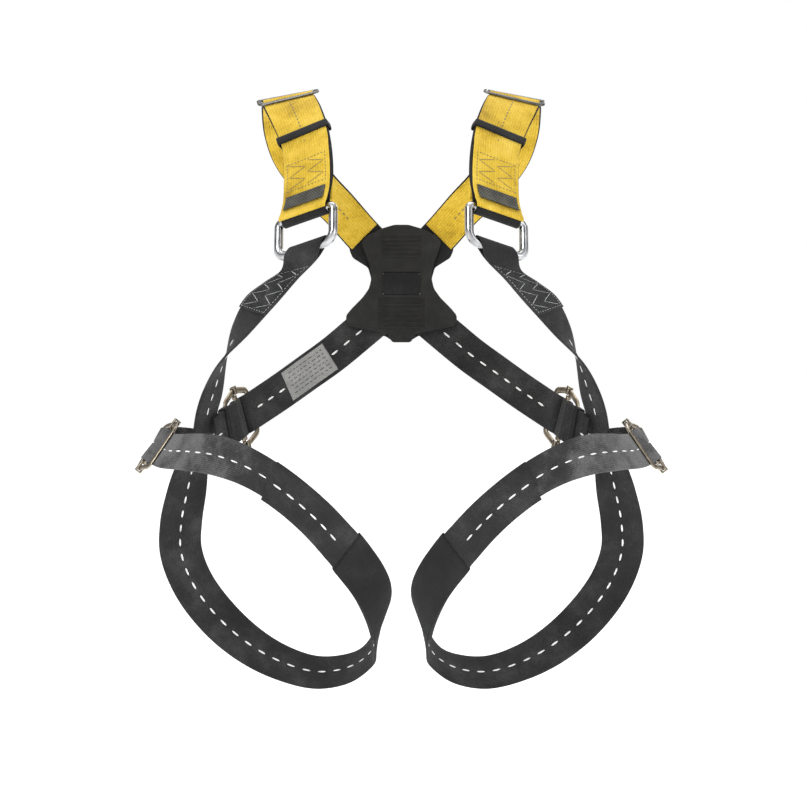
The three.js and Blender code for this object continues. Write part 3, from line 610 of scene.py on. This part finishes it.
BLACK = webbing_material("webbing_black", (22, 22, 23), (34, 34, 35), (60, 60, 61))
CORE = webbing_material("webbing_core", (14, 14, 15), (22, 22, 23), (38, 38, 39))
# Thigh webbing: paler tones than the black, with painted light that brightens it along the strap
# towards the hip, where it faces up to the light.
THIGH = webbing_material("webbing_thigh", (26, 26, 27), (44, 44, 45), (98, 98, 99),
                         painted_light_ramp=(100, 330, 0.42))
YELLOW = webbing_material("webbing_yellow", (146, 116, 20), (197, 164, 44),
                          (219, 189, 82), rib=3.1, wear=0.5)
ELASTIC = webbing_material("elastic_black", (12, 12, 13), (21, 21, 22), (36, 36, 37),
                           rib=1.3, pick=1.1)
PLASTIC = plastic_material("plate_plastic", (24, 24, 23), (38, 38, 37), 0.62)
PLASTIC_OUTER = plastic_material("plate_outer_plastic", (24, 24, 24), (38, 38, 38), 0.58)
ALUMINIUM = metal_material("ring_aluminium", (184, 185, 187), (104, 105, 107), 0.2)
BRONZE = metal_material("buckle_bronze", (158, 148, 131), (92, 84, 72), 0.32, 0.6)
STEEL = metal_material("slide_steel", (112, 111, 109), (64, 63, 62), 0.34)
GRIP = hatched_material("grip_rubber", (34, 34, 32), (104, 103, 94))
WHITE_THREAD = thread_material("thread_white", (232, 233, 232), (190, 191, 190))
PALE_THREAD = thread_material("thread_pale", (176, 177, 178), (128, 129, 130))
GREY_THREAD = thread_material("thread_grey", (120, 108, 78), (92, 84, 64))
LABEL = plastic_material("label_cloth", (126, 126, 125), (148, 148, 147), 0.75)
LABEL_INK = plastic_material("label_ink", (48, 48, 49), (66, 66, 67), 0.7)


def finish_piece(piece, body, *nodes):
    """Hides the CAD nodes a piece stands for and, if a body is given, attaches the piece to it."""
    if nodes:
        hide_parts(*nodes)
    if body:
        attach(piece, body)
    return piece


# ---- Shoulder straps ----
CORE_LEG = (CORE_THICK + GAP) / 2 + 0.1
LAYER = (CORE_THICK + FACE_THICK) / 2 + GAP
FACE_HEIGHT = CORE_LEG + LAYER
LOW_FACE = -CORE_LEG + LAYER
LINING_HEIGHT = -CORE_LEG - LAYER
CREST_AT = shoulder.distance(5.5)
FACE_TURN = WIRE + 2 * GAP + 0.3 + CORE_THICK + FACE_THICK / 2
KEEPER_AT = shoulder.distance(3.2)
HUMP = LOW_FACE + CREST_THICK + 0.6


def smoothstep(x, low, high):
    t = np.clip((np.asarray(x, float) - low) / (high - low), 0, 1)
    return t * t * (3 - 2 * t)


def shoulder_width(wide, at_ring):
    def width(s):
        return (wide + (at_ring - wide) * (1 - smoothstep(s, 8, 40))
                - NARROWING * smoothstep(s, shoulder.distance(8), shoulder.distance(11.5)))
    return width


def turned_end(route, wire, thick, far, doubled):
    """Side view of a strap that turns back round a bar at distance 0."""
    skew = 1 / np.linalg.norm(np.cross(route.along[0], route.across[0]))
    leg_height = (thick + GAP) / 2 + 0.1
    radius = wire + GAP + 0.3 + thick / 2
    return [(doubled, -leg_height), (NECK, -leg_height), (NECK * 0.55, -leg_height - 1.8),
            *bend(0, 0, radius, 310, 50, 24, skew), (NECK * 0.55, leg_height + 1.8),
            (NECK, leg_height), (far, leg_height)]


def shoulder_strap(prefix, side):
    core = [(s, -n) for s, n in turned_end(shoulder, WIRE, CORE_THICK, shoulder.length, DOUBLED)]
    end = shoulder.distance(12.2)
    face = [*bend(0, 0, FACE_TURN, 110, 50, 8), (12.6, FACE_HEIGHT + 1.9),
            (NECK, FACE_HEIGHT + 0.2), (28, FACE_HEIGHT), (DOUBLED + 2, FACE_HEIGHT),
            (DOUBLED + 14, LOW_FACE),
            (CREST_AT - CREST_REACH, LOW_FACE), (CREST_AT - 8.8, LOW_FACE + 0.4),
            (CREST_AT - 5.6, LOW_FACE + 2.5), (CREST_AT - 3, HUMP), (CREST_AT + 3, HUMP),
            (CREST_AT + 5.6, LOW_FACE + 2.5), (CREST_AT + 8.8, LOW_FACE + 0.4),
            (CREST_AT + CREST_REACH, LOW_FACE), (end, LOW_FACE)]
    lining = [(11, LINING_HEIGHT - 2.3), (NECK, LINING_HEIGHT - 0.3), (28, LINING_HEIGHT),
              (end, LINING_HEIGHT)]
    face_width = shoulder_width(FACE_WIDTH, FACE_WIDTH)
    for layer, node, path, width, thick, material, shape in (
            ("core", "core", core, shoulder_width(CORE_WIDTH, RING_END_WIDTH), CORE_THICK, CORE,
             {"rounds": 1}),
            ("face", "webbing", face, face_width, FACE_THICK, YELLOW, {"step": 2.0}),
            ("lining", "lining", lining, face_width, FACE_THICK, YELLOW, {})):
        piece = band(f"{prefix}_shoulder_{layer}_webbing", shoulder, side, path, width, thick,
                     material, **shape)
        finish_piece(piece, "root", f"{prefix}_shoulder_{node}")
    shoulder_stitching(prefix, side)
    grip_patch(prefix, side)
    crest_slide(prefix, side)
    finish_piece(collar(f"{prefix}_shoulder_elastic", shoulder, side, KEEPER_AT - KEEPER_HALF,
                        KEEPER_AT + KEEPER_HALF, CORE_WIDTH / 2 + KEEPER_CLEAR,
                        LINING_HEIGHT - FACE_THICK / 2 - KEEPER_CLEAR,
                        LOW_FACE + FACE_THICK / 2 + KEEPER_CLEAR, 1.2, ELASTIC),
                 f"{prefix}_shoulder_slide", f"{prefix}_shoulder_keeper")


def shoulder_stitching(prefix, side):
    """Centre dashes, a boxed zigzag over the doubled part and rows beside the edges."""
    parts = Parts()
    top = FACE_THICK / 2 + STITCH_LIFT
    for start, end in ((DOUBLED + 18, KEEPER_AT - 10), (KEEPER_AT + 10, CREST_AT - 18),
                       (CREST_AT + 18, shoulder.distance(11.4))):
        dashes(parts, shoulder, side, start, end, LOW_FACE + top, 7.0, 4.4, 1.3)
    dashes(parts, shoulder, side, 30, shoulder.distance(11.4), LINING_HEIGHT - top, 7.0, 4.4, 1.3)
    box_stitch(parts, shoulder, side, 32, 66, 24, FACE_HEIGHT + top)
    for low, high in ((-22, -1), (1, 22)):
        zigzag(parts, shoulder, side, 34, 64, low, high, FACE_HEIGHT + top, 7.5, 0.7)
    finish_piece(parts.build(f"{prefix}_shoulder_stitching", GREY_THREAD), "root")


def grip_patch(prefix, side):
    """A small rubbery patch with a raised diagonal hatch."""
    low, high, half = 8.6, 25.0, 24.5
    ss, ws = np.linspace(low, high, 25), np.linspace(-half, half, 99)
    s, w = np.meshgrid(ss, ws, indexing="ij")
    height = FACE_HEIGHT + 2.1 + np.interp(s, (low, 12.6, 20.5, high), (4.0, 2.2, 0.3, 0.1))
    hatch = np.maximum(*(np.abs(np.sin(d * math.pi / 3.2)) for d in (s + w, s - w)))
    fade = np.minimum((s - low) * (high - s) / 8, (half - np.abs(w)) / 1.5).clip(0, 1)
    top = shoulder.place(s, w, height + 0.25 + 0.35 * (1 - hatch ** 3) * fade, side)
    bottom = shoulder.place(s, w, height - 0.6, side)
    rows, columns = s.shape
    faces = []
    for i in range(rows - 1):
        for j in range(columns - 1):
            a = i * columns + j
            quad = [a, a + 1, a + columns + 1, a + columns]
            faces.append(quad)
            faces.append([rows * columns + k for k in reversed(quad)])
    rim = ([(0, j) for j in range(columns)] + [(i, columns - 1) for i in range(1, rows)]
           + [(rows - 1, j) for j in range(columns - 2, -1, -1)]
           + [(i, 0) for i in range(rows - 2, 0, -1)])
    for (a, b), (c, d) in zip(rim, rim[1:] + rim[:1]):
        p, q = a * columns + b, c * columns + d
        faces.append([q, p, p + rows * columns, q + rows * columns])
    vertices = np.vstack([top.reshape(-1, 3), bottom.reshape(-1, 3)])
    weave = np.zeros_like(vertices)
    weave[:rows * columns, 2] = (1 - hatch ** 3).ravel()
    piece = new_object(f"{prefix}_hatched_patch", vertices, faces, GRIP, True, weave)
    finish_piece(piece, "root", f"{prefix}_grip_patch")


def crest_slide(prefix, side):
    """Slide over the shoulder: a rounded frame with a middle bar under the yellow face."""
    height = LOW_FACE + FACE_THICK / 2 + GAP + CREST_THICK / 2 + 0.3
    r, h = CREST_REACH, CREST_HALF
    outline = round_outline([(CREST_AT - r, -h), (CREST_AT - r, h), (CREST_AT + r, h),
                             (CREST_AT + r, -h)], 5, 7)
    parts = Parts()
    hoop(parts, shoulder, side, outline, height, CREST_BAR, CREST_THICK)
    ws = np.linspace(-h + 0.5, h - 0.5, 24)
    drop = (1 - smoothstep(np.abs(ws), h - 7, h - 1.5))
    centre = height - 0.2 - (height - 1.6) * drop
    angles = circle(16)
    s = CREST_AT + 2.0 * np.cos(angles)[None] + 0 * ws[:, None]
    n = centre[:, None] + 1.1 * np.sin(angles)[None]
    parts.add(shoulder.place(s, ws[:, None] + 0 * s, n, side))
    finish_piece(parts.build(f"{prefix}_crest_slide_frame", STEEL), "root",
                 f"{prefix}_crest_slide")


# ---- Front rings and side straps ----
def front_ring(prefix, side):
    top, low = shoulder.points[0], side_run.points[0]
    plane = Flat(top, unit(low - top), shoulder.across[0])
    parts = Parts()
    hoop(parts, plane, side, ring_outline(RING_WIDTH, RING_HEIGHT, RING_NEAR, RING_CORNER), 0,
         2 * WIRE, 2 * WIRE, 28)
    finish_piece(parts.build(f"{prefix}_front_ring_forging", ALUMINIUM), f"{prefix}_ring_body",
                 f"{prefix}_front_ring")


def point(route, s, side):
    return tuple(route.place(s, 0, 0, side) * MM)


def sewn_faces(middle, thick):
    """Heights of the thread on a strap's two faces."""
    lift = thick / 2 + STITCH_LIFT
    return middle - lift, middle + lift


def side_strap(prefix, side):
    """The strap from the ring to the hip, in two lengths that meet flush."""
    path = turned_end(side_run, WIRE, WEB_THICK, side_run.length, DOUBLED_SIDE)
    leg_height = path[-1][1]
    upper = path[:-1] + [(SIDE_JOIN, leg_height)]
    lower = run(SIDE_JOIN, side_run.length, leg_height)
    top = band(f"{prefix}_side_strap_upper", side_run, side, upper, WEB_WIDTH, WEB_THICK, BLACK,
               rounds=1)
    finish_piece(top, None, f"{prefix}_side_strap")
    bottom = band(f"{prefix}_side_strap_lower", side_run, side, lower, WEB_WIDTH, WEB_THICK, BLACK)
    finish_piece(bottom, None)

    sewn = Parts()
    face = -leg_height - WEB_THICK / 2 - STITCH_LIFT
    for low, high in ((-18, -1), (1, 18)):
        zigzag(sewn, side_run, side, 30, 98, low, high, face, 11, 0.8)
    box_stitch(sewn, side_run, side, 28, 100, 19.5, face, thread=0.8)
    stitches = sewn.build(f"{prefix}_side_bartack", PALE_THREAD)
    finish_piece(stitches, None)
    runs = Parts()
    for height in sewn_faces(leg_height, WEB_THICK):
        dashes(runs, side_run, side, SIDE_JOIN + 2, side_run.length - 22, height)
    line = runs.build(f"{prefix}_side_stitching", WHITE_THREAD)
    finish_piece(line, None)
    for piece in (top, stitches):
        point(side_run, 120, side)
        point(side_run, 12, side)
        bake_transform(piece)
    for piece in (bottom, line):
        point(side_run, 222, side)
        point(side_run, side_run.length, side)
        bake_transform(piece)


# ---- Adjusters ----
def adjuster_frame(name, route, side, at, material):
    outline = round_outline([
        (at - ADJ_REACH, -ADJ_HALF), (at - ADJ_REACH, ADJ_HALF), (at - ADJ_FLAT, ADJ_TIP),
        (at + ADJ_FLAT, ADJ_TIP), (at + ADJ_REACH, ADJ_HALF), (at + ADJ_REACH, -ADJ_HALF),
        (at + ADJ_FLAT, -ADJ_TIP), (at - ADJ_FLAT, -ADJ_TIP)], 4.5, 6)
    parts = Parts()
    hoop(parts, route, side, outline, ADJ_LIFT, ADJ_BAR, ADJ_THICK)
    return parts.build(name, material)


def adjuster_bar(name, route, side, at, material):
    """The floating bar: a flat middle and hooked ends that ride on the frame's tips."""
    gap, half = 0.5, SLIDER_THICK / 2
    inner, outer = ADJ_TIP - ADJ_BAR / 2 - gap, ADJ_TIP + ADJ_BAR / 2 + gap
    wall, top = outer + SLIDER_HOOK, ADJ_THICK / 2 + gap
    lip = top + SLIDER_HOOK
    quarter = [(inner - 0.8, -half), (inner - 0.8, top), (outer, top), (outer, -top), (inner, -top),
               (inner, -lip), (wall, -lip), (wall, lip), (inner - 3.5, lip), (inner - 5.5, half)]
    outline = np.array(quarter + [(-w, n) for w, n in reversed(quarter)])
    outline = round_outline(outline, 0.8, 4)
    grid = []
    for inset, s in ((0.35, -0.5), (0, -0.36), (0, 0.36), (0.35, 0.5)):
        tangent = unit(np.roll(outline, -1, 0) - np.roll(outline, 1, 0))
        shrunk = outline - np.stack([tangent[:, 1], -tangent[:, 0]], 1) * inset
        grid.append(route.place(at + s * SLIDER_WIDE, shrunk[:, 0], shrunk[:, 1] + ADJ_LIFT, side))
    parts = Parts()
    parts.add(np.array(grid))
    return parts.build(name, material)


def threaded_path(start, at, tail):
    """The long strap: under a side bar, over the floating bar, under the other and on."""
    top = ADJ_LIFT + SLIDER_THICK / 2 + 2 * GAP + 1.5 * WEB_THICK + 0.3
    return [(start, 0), (at - 13.5, 0), (at - 10.4, ADJ_LIFT - 0.4), (at - 8, ADJ_LIFT + 3.4),
            (at - 5, top), (at + 5, top), (at + 8, ADJ_LIFT + 3.4), (at + 10.4, ADJ_LIFT - 0.4),
            (at + 13.5, 0), (tail, 0)]


def tab_path(at, end, doubled):
    """The fixed tab: in below the tail, round the floating bar and back on itself."""
    layer = WEB_THICK + GAP
    radius = SLIDER_THICK / 2 + GAP + WEB_THICK / 2
    edge = SLIDER_WIDE / 2
    return [(end, -2 * layer - 0.6), (at + 12, -2 * layer - 0.6), (at + 5.6, -2.1),
            *bend(at - edge + 0.5, ADJ_LIFT, radius, 270, 90, 8),
            *bend(at + edge - 0.5, ADJ_LIFT, radius, 90, 20, 4),
            (at + 8.4, -0.2), (at + 14, -layer - 0.3), (doubled, -layer - 0.3)]


def adjuster(prefix, side, route, where, at, body, slider, tail_body, names):
    """Frame, floating bar, tab and tail keeper of one adjuster."""
    tab_node, frame_node = names
    name = f"{prefix}_{where}"
    finish_piece(adjuster_frame(f"{name}_frame", route, side, at, BRONZE), body,
                 f"{prefix}_{frame_node}")
    finish_piece(adjuster_bar(f"{name}_floating_bar", route, side, at, BRONZE), slider,
                 f"{prefix}_{frame_node}_bar")
    path = tab_path(at, route.length, at + DOUBLED_TAB)
    join = at + TAB_JOIN
    near = band(f"{name}_tab_fold", route, side, [(join, path[0][1]), *path[1:]],
                WEB_WIDTH, WEB_THICK, BLACK, step=1.8, rounds=1)
    finish_piece(near, None, f"{prefix}_{tab_node}")
    point(route, at + 14, side)
    point(route, at + 4, side)
    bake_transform(near)
    far = band(f"{name}_tab_length", route, side, run(join, route.length, path[0][1]),
               WEB_WIDTH, WEB_THICK, BLACK)
    finish_piece(far, None)
    if body == "root":
        point(route, join, side)
        point(route, route.length, side)
        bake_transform(far)
    else:
        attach(far, body)
    half, layer = WEB_THICK / 2, WEB_THICK + GAP
    finish_piece(collar(f"{name}_elastic", route, side, at + 28, at + 38,
                        WEB_WIDTH / 2 + KEEPER_CLEAR, -2 * layer - half - 1, half + KEEPER_CLEAR,
                        1.1, ELASTIC),
                 tail_body, f"{name}_keeper")


# ---- Back straps and leg loops ----
def back_strap(prefix, side):
    at = back.distance(5.85)
    finish_piece(band(f"{prefix}_back_webbing", back, side, threaded_path(0, at, at + BACK_TAIL),
                      WEB_WIDTH, WEB_THICK, BLACK), "root", f"{prefix}_back_strap")
    adjuster(prefix, side, back, "back", at, "root", f"{prefix}_back_slider",
             f"{prefix}_back_slide", ("back_tab", "back_adjuster"))
    runs = Parts()
    for height in sewn_faces(0, WEB_THICK):
        start = 30
        if side > 0 and height < 0:
            dashes(runs, back, side, start, LABEL_FROM - 3, height)
            start = LABEL_FROM + LABEL_LENGTH + 3
        dashes(runs, back, side, start, at - 28, height)
    tab_face = -2 * (WEB_THICK + GAP) - 0.6 - WEB_THICK / 2 - STITCH_LIFT
    dashes(runs, back, side, at + TAB_JOIN, back.length, tab_face)
    finish_piece(runs.build(f"{prefix}_back_stitching", WHITE_THREAD), "root")


def leg_loop(prefix, side):
    body = f"{prefix}_leg_loop"
    seam, inner, at = leg.distance(17.3), leg.distance(15.6), leg.distance(22)
    layer = LEG_THICK + GAP
    under = [*run(0, inner - 30, 0), *run(inner - 18, seam, layer)]
    finish_piece(band(f"{prefix}_leg_webbing", leg, side, under, LEG_WIDTH, LEG_THICK, BLACK),
                 body, f"{prefix}_leg_strap")
    closing = threaded_path(inner - 6, at, at + THIGH_TAIL)
    finish_piece(band(f"{prefix}_thigh_webbing", leg, side, closing, WEB_WIDTH, WEB_THICK, THIGH),
                 body, f"{prefix}_thigh_strap")
    adjuster(prefix, side, leg, "hip", at, body, f"{prefix}_hip_slider", f"{prefix}_hip_slide",
             ("hip_tab", "hip_buckle"))
    sleeve_start, sleeve_end = leg.distance(12.6), inner - 36
    finish_piece(collar(f"{prefix}_crotch_cover", leg, side, sleeve_start, sleeve_end,
                        LEG_WIDTH / 2 + 1, -LEG_THICK / 2 - 1, LEG_THICK / 2 + 1, 1, ELASTIC),
                 body, f"{prefix}_crotch_sleeve")
    runs = Parts()
    for height in sewn_faces(0, LEG_THICK):
        dashes(runs, leg, side, 30, sleeve_start - 8, height)
    dashes(runs, leg, side, inner - 14, seam - 6, sewn_faces(layer, LEG_THICK)[1], 17)
    for height in sewn_faces(0, WEB_THICK):
        dashes(runs, leg, side, seam + 8, at - 28, height, wide=1.8)
    crest = threaded_path(0, at, at)[4][1]
    bead(runs, leg, side, at, 0, sewn_faces(crest, WEB_THICK)[1], 8, 1.8, 0.9)
    finish_piece(runs.build(f"{prefix}_leg_stitching", WHITE_THREAD), body)


# ---- Back plate ----
PLATE_FACE, PLATE_THICK, COVER_FROM, COVER_THICK = 2.6, 4.0, 14.0, 4.0
PLATE_OUTLINE = [(11.5, -72), (17, -61), (48, -56), (65, -52), (67.5, -48), (67.5, -39), (60, -30),
                 (48, -18), (39, -6), (36, 6), (38, 20), (43, 34), (49, 50), (43, 58), (24, 67),
                 (8.5, 71.5)]
COVER_OUTLINE = [(11, -70), (20, -64), (58, -58), (66, -50), (64, -36), (50, -20), (40, -6),
                 (37, 6), (41, 20), (60, 32), (64, 42), (63, 54), (48, 62), (24, 68), (8, 70.5)]
SCREWS = {"top": (0, 60), "bottom": (0, -62), "right": (-31, 4), "left": (31, 4)}


def moulding(name, outline, near, far, material, slot_half=22.7, slot_tall=2.6):
    """A moulded plate with eased edges and two slots."""
    half = round_outline(outline + [(-x, z) for x, z in reversed(outline)], 3.0, 5)
    curve = bpy.data.curves.new(name, "CURVE")
    curve.dimensions = "2D"
    curve.fill_mode = "BOTH"
    loops = [half]
    for z in (-SLOT_AT, SLOT_AT):
        low, high = z - slot_tall / 2, z + slot_tall / 2
        loops.append(round_outline([(-slot_half, low), (slot_half, low), (slot_half, high),
                                    (-slot_half, high)], 0.3, 3))
    for loop in loops:
        line = curve.splines.new("POLY")
        line.points.add(len(loop) - 1)
        for p, (x, z) in zip(line.points, loop):
            p.co = (x * MM, z * MM, 0, 1)
        line.use_cyclic_u = True
    bevel = 0.9
    curve.extrude = (far - near) / 2 * MM - bevel * MM
    curve.bevel_depth = bevel * MM
    curve.bevel_resolution = 3
    curve.offset = -bevel * MM
    obj = link_object(name, curve)
    bpy.context.view_layer.update()
    graph = bpy.context.evaluated_depsgraph_get()
    mesh = bpy.data.meshes.new_from_object(obj.evaluated_get(graph))
    bpy.data.objects.remove(obj)
    for v in mesh.vertices:
        x, z, depth = v.co
        v.co = (x, (near + far) / 2 * MM - depth, z)
    mesh.materials.clear()
    mesh.materials.append(material)
    piece = link_object(name, mesh)
    weld = piece.modifiers.new("weld", "WELD")
    weld.merge_threshold = 0.00002
    return piece


def rounded_bar(parts, x0, x1, z, y, wide, tall):
    """A rib: a half-round bar standing on a plate's inner face."""
    xs = np.concatenate([[x0], np.linspace(x0 + 0.6, x1 - 0.6, 6), [x1]])
    swell = np.concatenate([[0.35], np.ones(6), [0.35]])
    angles = circle(14)
    grid = np.stack([
        xs[:, None] + 0 * angles,
        y - tall * np.sin(angles)[None] * swell[:, None],
        z + wide / 2 * np.cos(angles)[None] * swell[:, None]], -1)
    parts.add(grid)


def back_plate():
    inner = moulding("back_plate_inner_moulding", PLATE_OUTLINE, PLATE_FACE,
                     PLATE_FACE + PLATE_THICK, PLASTIC)
    finish_piece(inner, "root", "back_plate_inner")
    ribs = Parts()
    for first, count, pitch, half in RIBS:
        for i in range(count):
            rounded_bar(ribs, -half, half, first + i * pitch, PLATE_FACE, 3.0, 1.3)
    finish_piece(ribs.build("back_plate_ribs", PLASTIC), "root")
    outer = moulding("back_plate_outer_moulding", COVER_OUTLINE, COVER_FROM,
                     COVER_FROM + COVER_THICK, PLASTIC_OUTER)
    finish_piece(outer, "root", "back_plate_outer")
    for name, (x, z) in SCREWS.items():
        screw_head(name, x, z)
    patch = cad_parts["strap_anchor_patch"]
    patch.data.materials.clear()
    patch.data.materials.append(CORE)


def screw_head(name, x, z):
    """A pan head with a hexagonal socket, on its shank."""
    head = COVER_FROM + COVER_THICK + 0.3
    profile = [(1.4, -10), (1.4, 0), (3.6, 0), (3.6, 0.9), (3.2, 1.6), (2.3, 1.8), (1.7, 1.8),
               (1.6, 0.8), (0.02, 0.8)]
    angles = circle(24)
    grid = []
    for i, (r, y) in enumerate(profile):
        radius = np.full(len(angles), r)
        if i >= 6:
            radius = r * np.cos(math.pi / 6) / np.cos((angles % (math.pi / 3)) - math.pi / 6)
        grid.append(np.stack([x + radius * np.cos(angles), np.full(len(angles), head + y),
                              z + radius * np.sin(angles)], -1))
    parts = Parts()
    parts.add(np.array(grid))
    finish_piece(parts.build(f"plate_screw_{name}_head", STEEL), "root",
                 f"plate_screw_{name}")


def dorsal_ring():
    upright = Flat((0, 0, 0), (0, 0, 1), (1, 0, 0))
    half = WEB_THICK / 2
    radius = WIRE + GAP + 0.2 + half
    outer = COVER_FROM + COVER_THICK + 0.5
    path = [(-SLOT_AT + 1.6, half), (-6, half), (6, half), (SLOT_AT - 1.6, half),
            (SLOT_AT, half + 1.6), (SLOT_AT, 10), (SLOT_AT, outer),
            *bend(0, DORSAL_Y, radius, 0, 180, 14),
            (-SLOT_AT, outer), (-SLOT_AT, 10), (-SLOT_AT, half + 1.6)]
    finish_piece(band("dorsal_loop_webbing", upright, 1, path, WEB_WIDTH, WEB_THICK, CORE,
                      step=1.6, closed=True, rounds=1), "root", "dorsal_loop")
    hang = Flat((0, DORSAL_Y, 0), (0, 0, -1), (1, 0, 0))
    parts = Parts()
    outline = ring_outline(DORSAL_WIDTH, DORSAL_HEIGHT, DORSAL_NEAR, DORSAL_CORNER)
    hoop(parts, hang, 1, outline, 0, 2 * WIRE, 2 * WIRE, 28)
    finish_piece(parts.build("dorsal_ring_forging", ALUMINIUM), "dorsal_ring_body",
                 "dorsal_ring")


def inspection_label():
    """A sewn label with rows of plain ruled lines and no wording."""
    face = -(WEB_THICK + LABEL_THICK) / 2 - GAP
    path = run(LABEL_FROM, LABEL_FROM + LABEL_LENGTH, face)
    label = band("inspection_label_cloth", back, 1, path, LABEL_WIDTH, LABEL_THICK, LABEL)
    finish_piece(label, "root", "inspection_label")
    lines = Parts()
    rng = random.Random(4)
    for row in range(6):
        w = -13 + row * 5.0
        s = LABEL_FROM + 5
        while s < LABEL_FROM + LABEL_LENGTH - 6:
            length = rng.uniform(2.5, 7.0)
            if s + length > LABEL_FROM + LABEL_LENGTH - 5:
                break
            bead(lines, back, 1, s + length / 2, w, face - 0.36, length, 0.9, 0.24)
            s += length + rng.uniform(1.2, 3.0)
    finish_piece(lines.build("inspection_label_rules", LABEL_INK), "root")


# ---- Camera, floor and lights ----
def floor(level):
    """A plain pale floor, wide enough to meet the horizon."""
    angles = circle(48)
    mesh = bpy.data.meshes.new("floor")
    mesh.from_pydata([(30 * math.cos(a), 30 * math.sin(a), 0) for a in angles], [],
                     [tuple(range(48))])
    disc = link_object("floor", mesh)
    disc.location = (0, 0, level)
    n = Nodes(bpy.data.materials.new("floor_paint"))
    pale, paler = (0.93, 0.93, 0.93, 1), (0.95, 0.95, 0.95, 1)
    tone = n.ramp(n.noise(n.place(), 2.0), ((0.3, pale), (0.7, paler)))
    n.colour(tone)
    n.link(tone, n.shader.inputs["Emission Color"])
    n.set(Roughness=0.95, Emission_Strength=0.62)
    mesh.materials.append(n.owner)


def camera_and_lights():
    focal_px, frame_px, sensor = 1913.0, 807.0, 36.0
    camera = bpy.data.cameras.new("camera")
    camera.sensor_width = sensor
    camera.lens = focal_px / frame_px * sensor
    camera.clip_end = 50
    view = link_object("camera", camera)
    view.location = (0.0025, -2.33, -0.146)
    view.rotation_euler = (math.radians(90), 0, 0)
    bpy.context.scene.camera = view

    floor(cad_box[0][2] - 0.28)
    world = bpy.data.worlds.new("studio")
    n = Nodes(world)
    split = n.node("ShaderNodeSeparateXYZ")
    n.link(n.node("ShaderNodeTexCoord").outputs["Generated"], split.inputs[0])
    stops = ((0.0, 1.0), (0.61, 1.0), (0.65, 0.2), (0.77, 0.25), (0.86, 1.0), (1.0, 1.2))
    sky = n.ramp(n.math("MULTIPLY_ADD", split.outputs[2], 0.5, 0.5),
                 [(position, (level, level, level, 1)) for position, level in stops])
    n.link(sky, n.tree.nodes["Background"].inputs["Color"])
    bpy.context.scene.world = world
    lamps = (("key", (-1.1, -2.0, 1.5), 30, 1.0), ("fill", (1.7, -1.5, 0.5), 10, 1.3),
             ("top", (0.0, 0.2, 1.9), 18, 1.6), ("rim", (0.9, 1.5, 0.9), 8, 0.8))
    for name, place, power, width in lamps:
        light = bpy.data.lights.new(name, "AREA")
        light.energy = power
        light.size = width
        lamp = link_object(name, light)
        lamp.location = place
        aim = np.array((0, -0.12, -0.14)) - np.array(place)
        yaw = math.atan2(aim[1], aim[0]) - math.pi / 2
        lamp.rotation_euler = (math.acos(-aim[2] / np.linalg.norm(aim)), 0, yaw)
    bpy.context.scene.view_settings.view_transform = "Standard"


camera_and_lights()
for side_name, side_sign in SIDES:
    shoulder_strap(side_name, side_sign)
    front_ring(side_name, side_sign)
    side_strap(side_name, side_sign)
    back_strap(side_name, side_sign)
    leg_loop(side_name, side_sign)
back_plate()
dorsal_ring()
inspection_label()
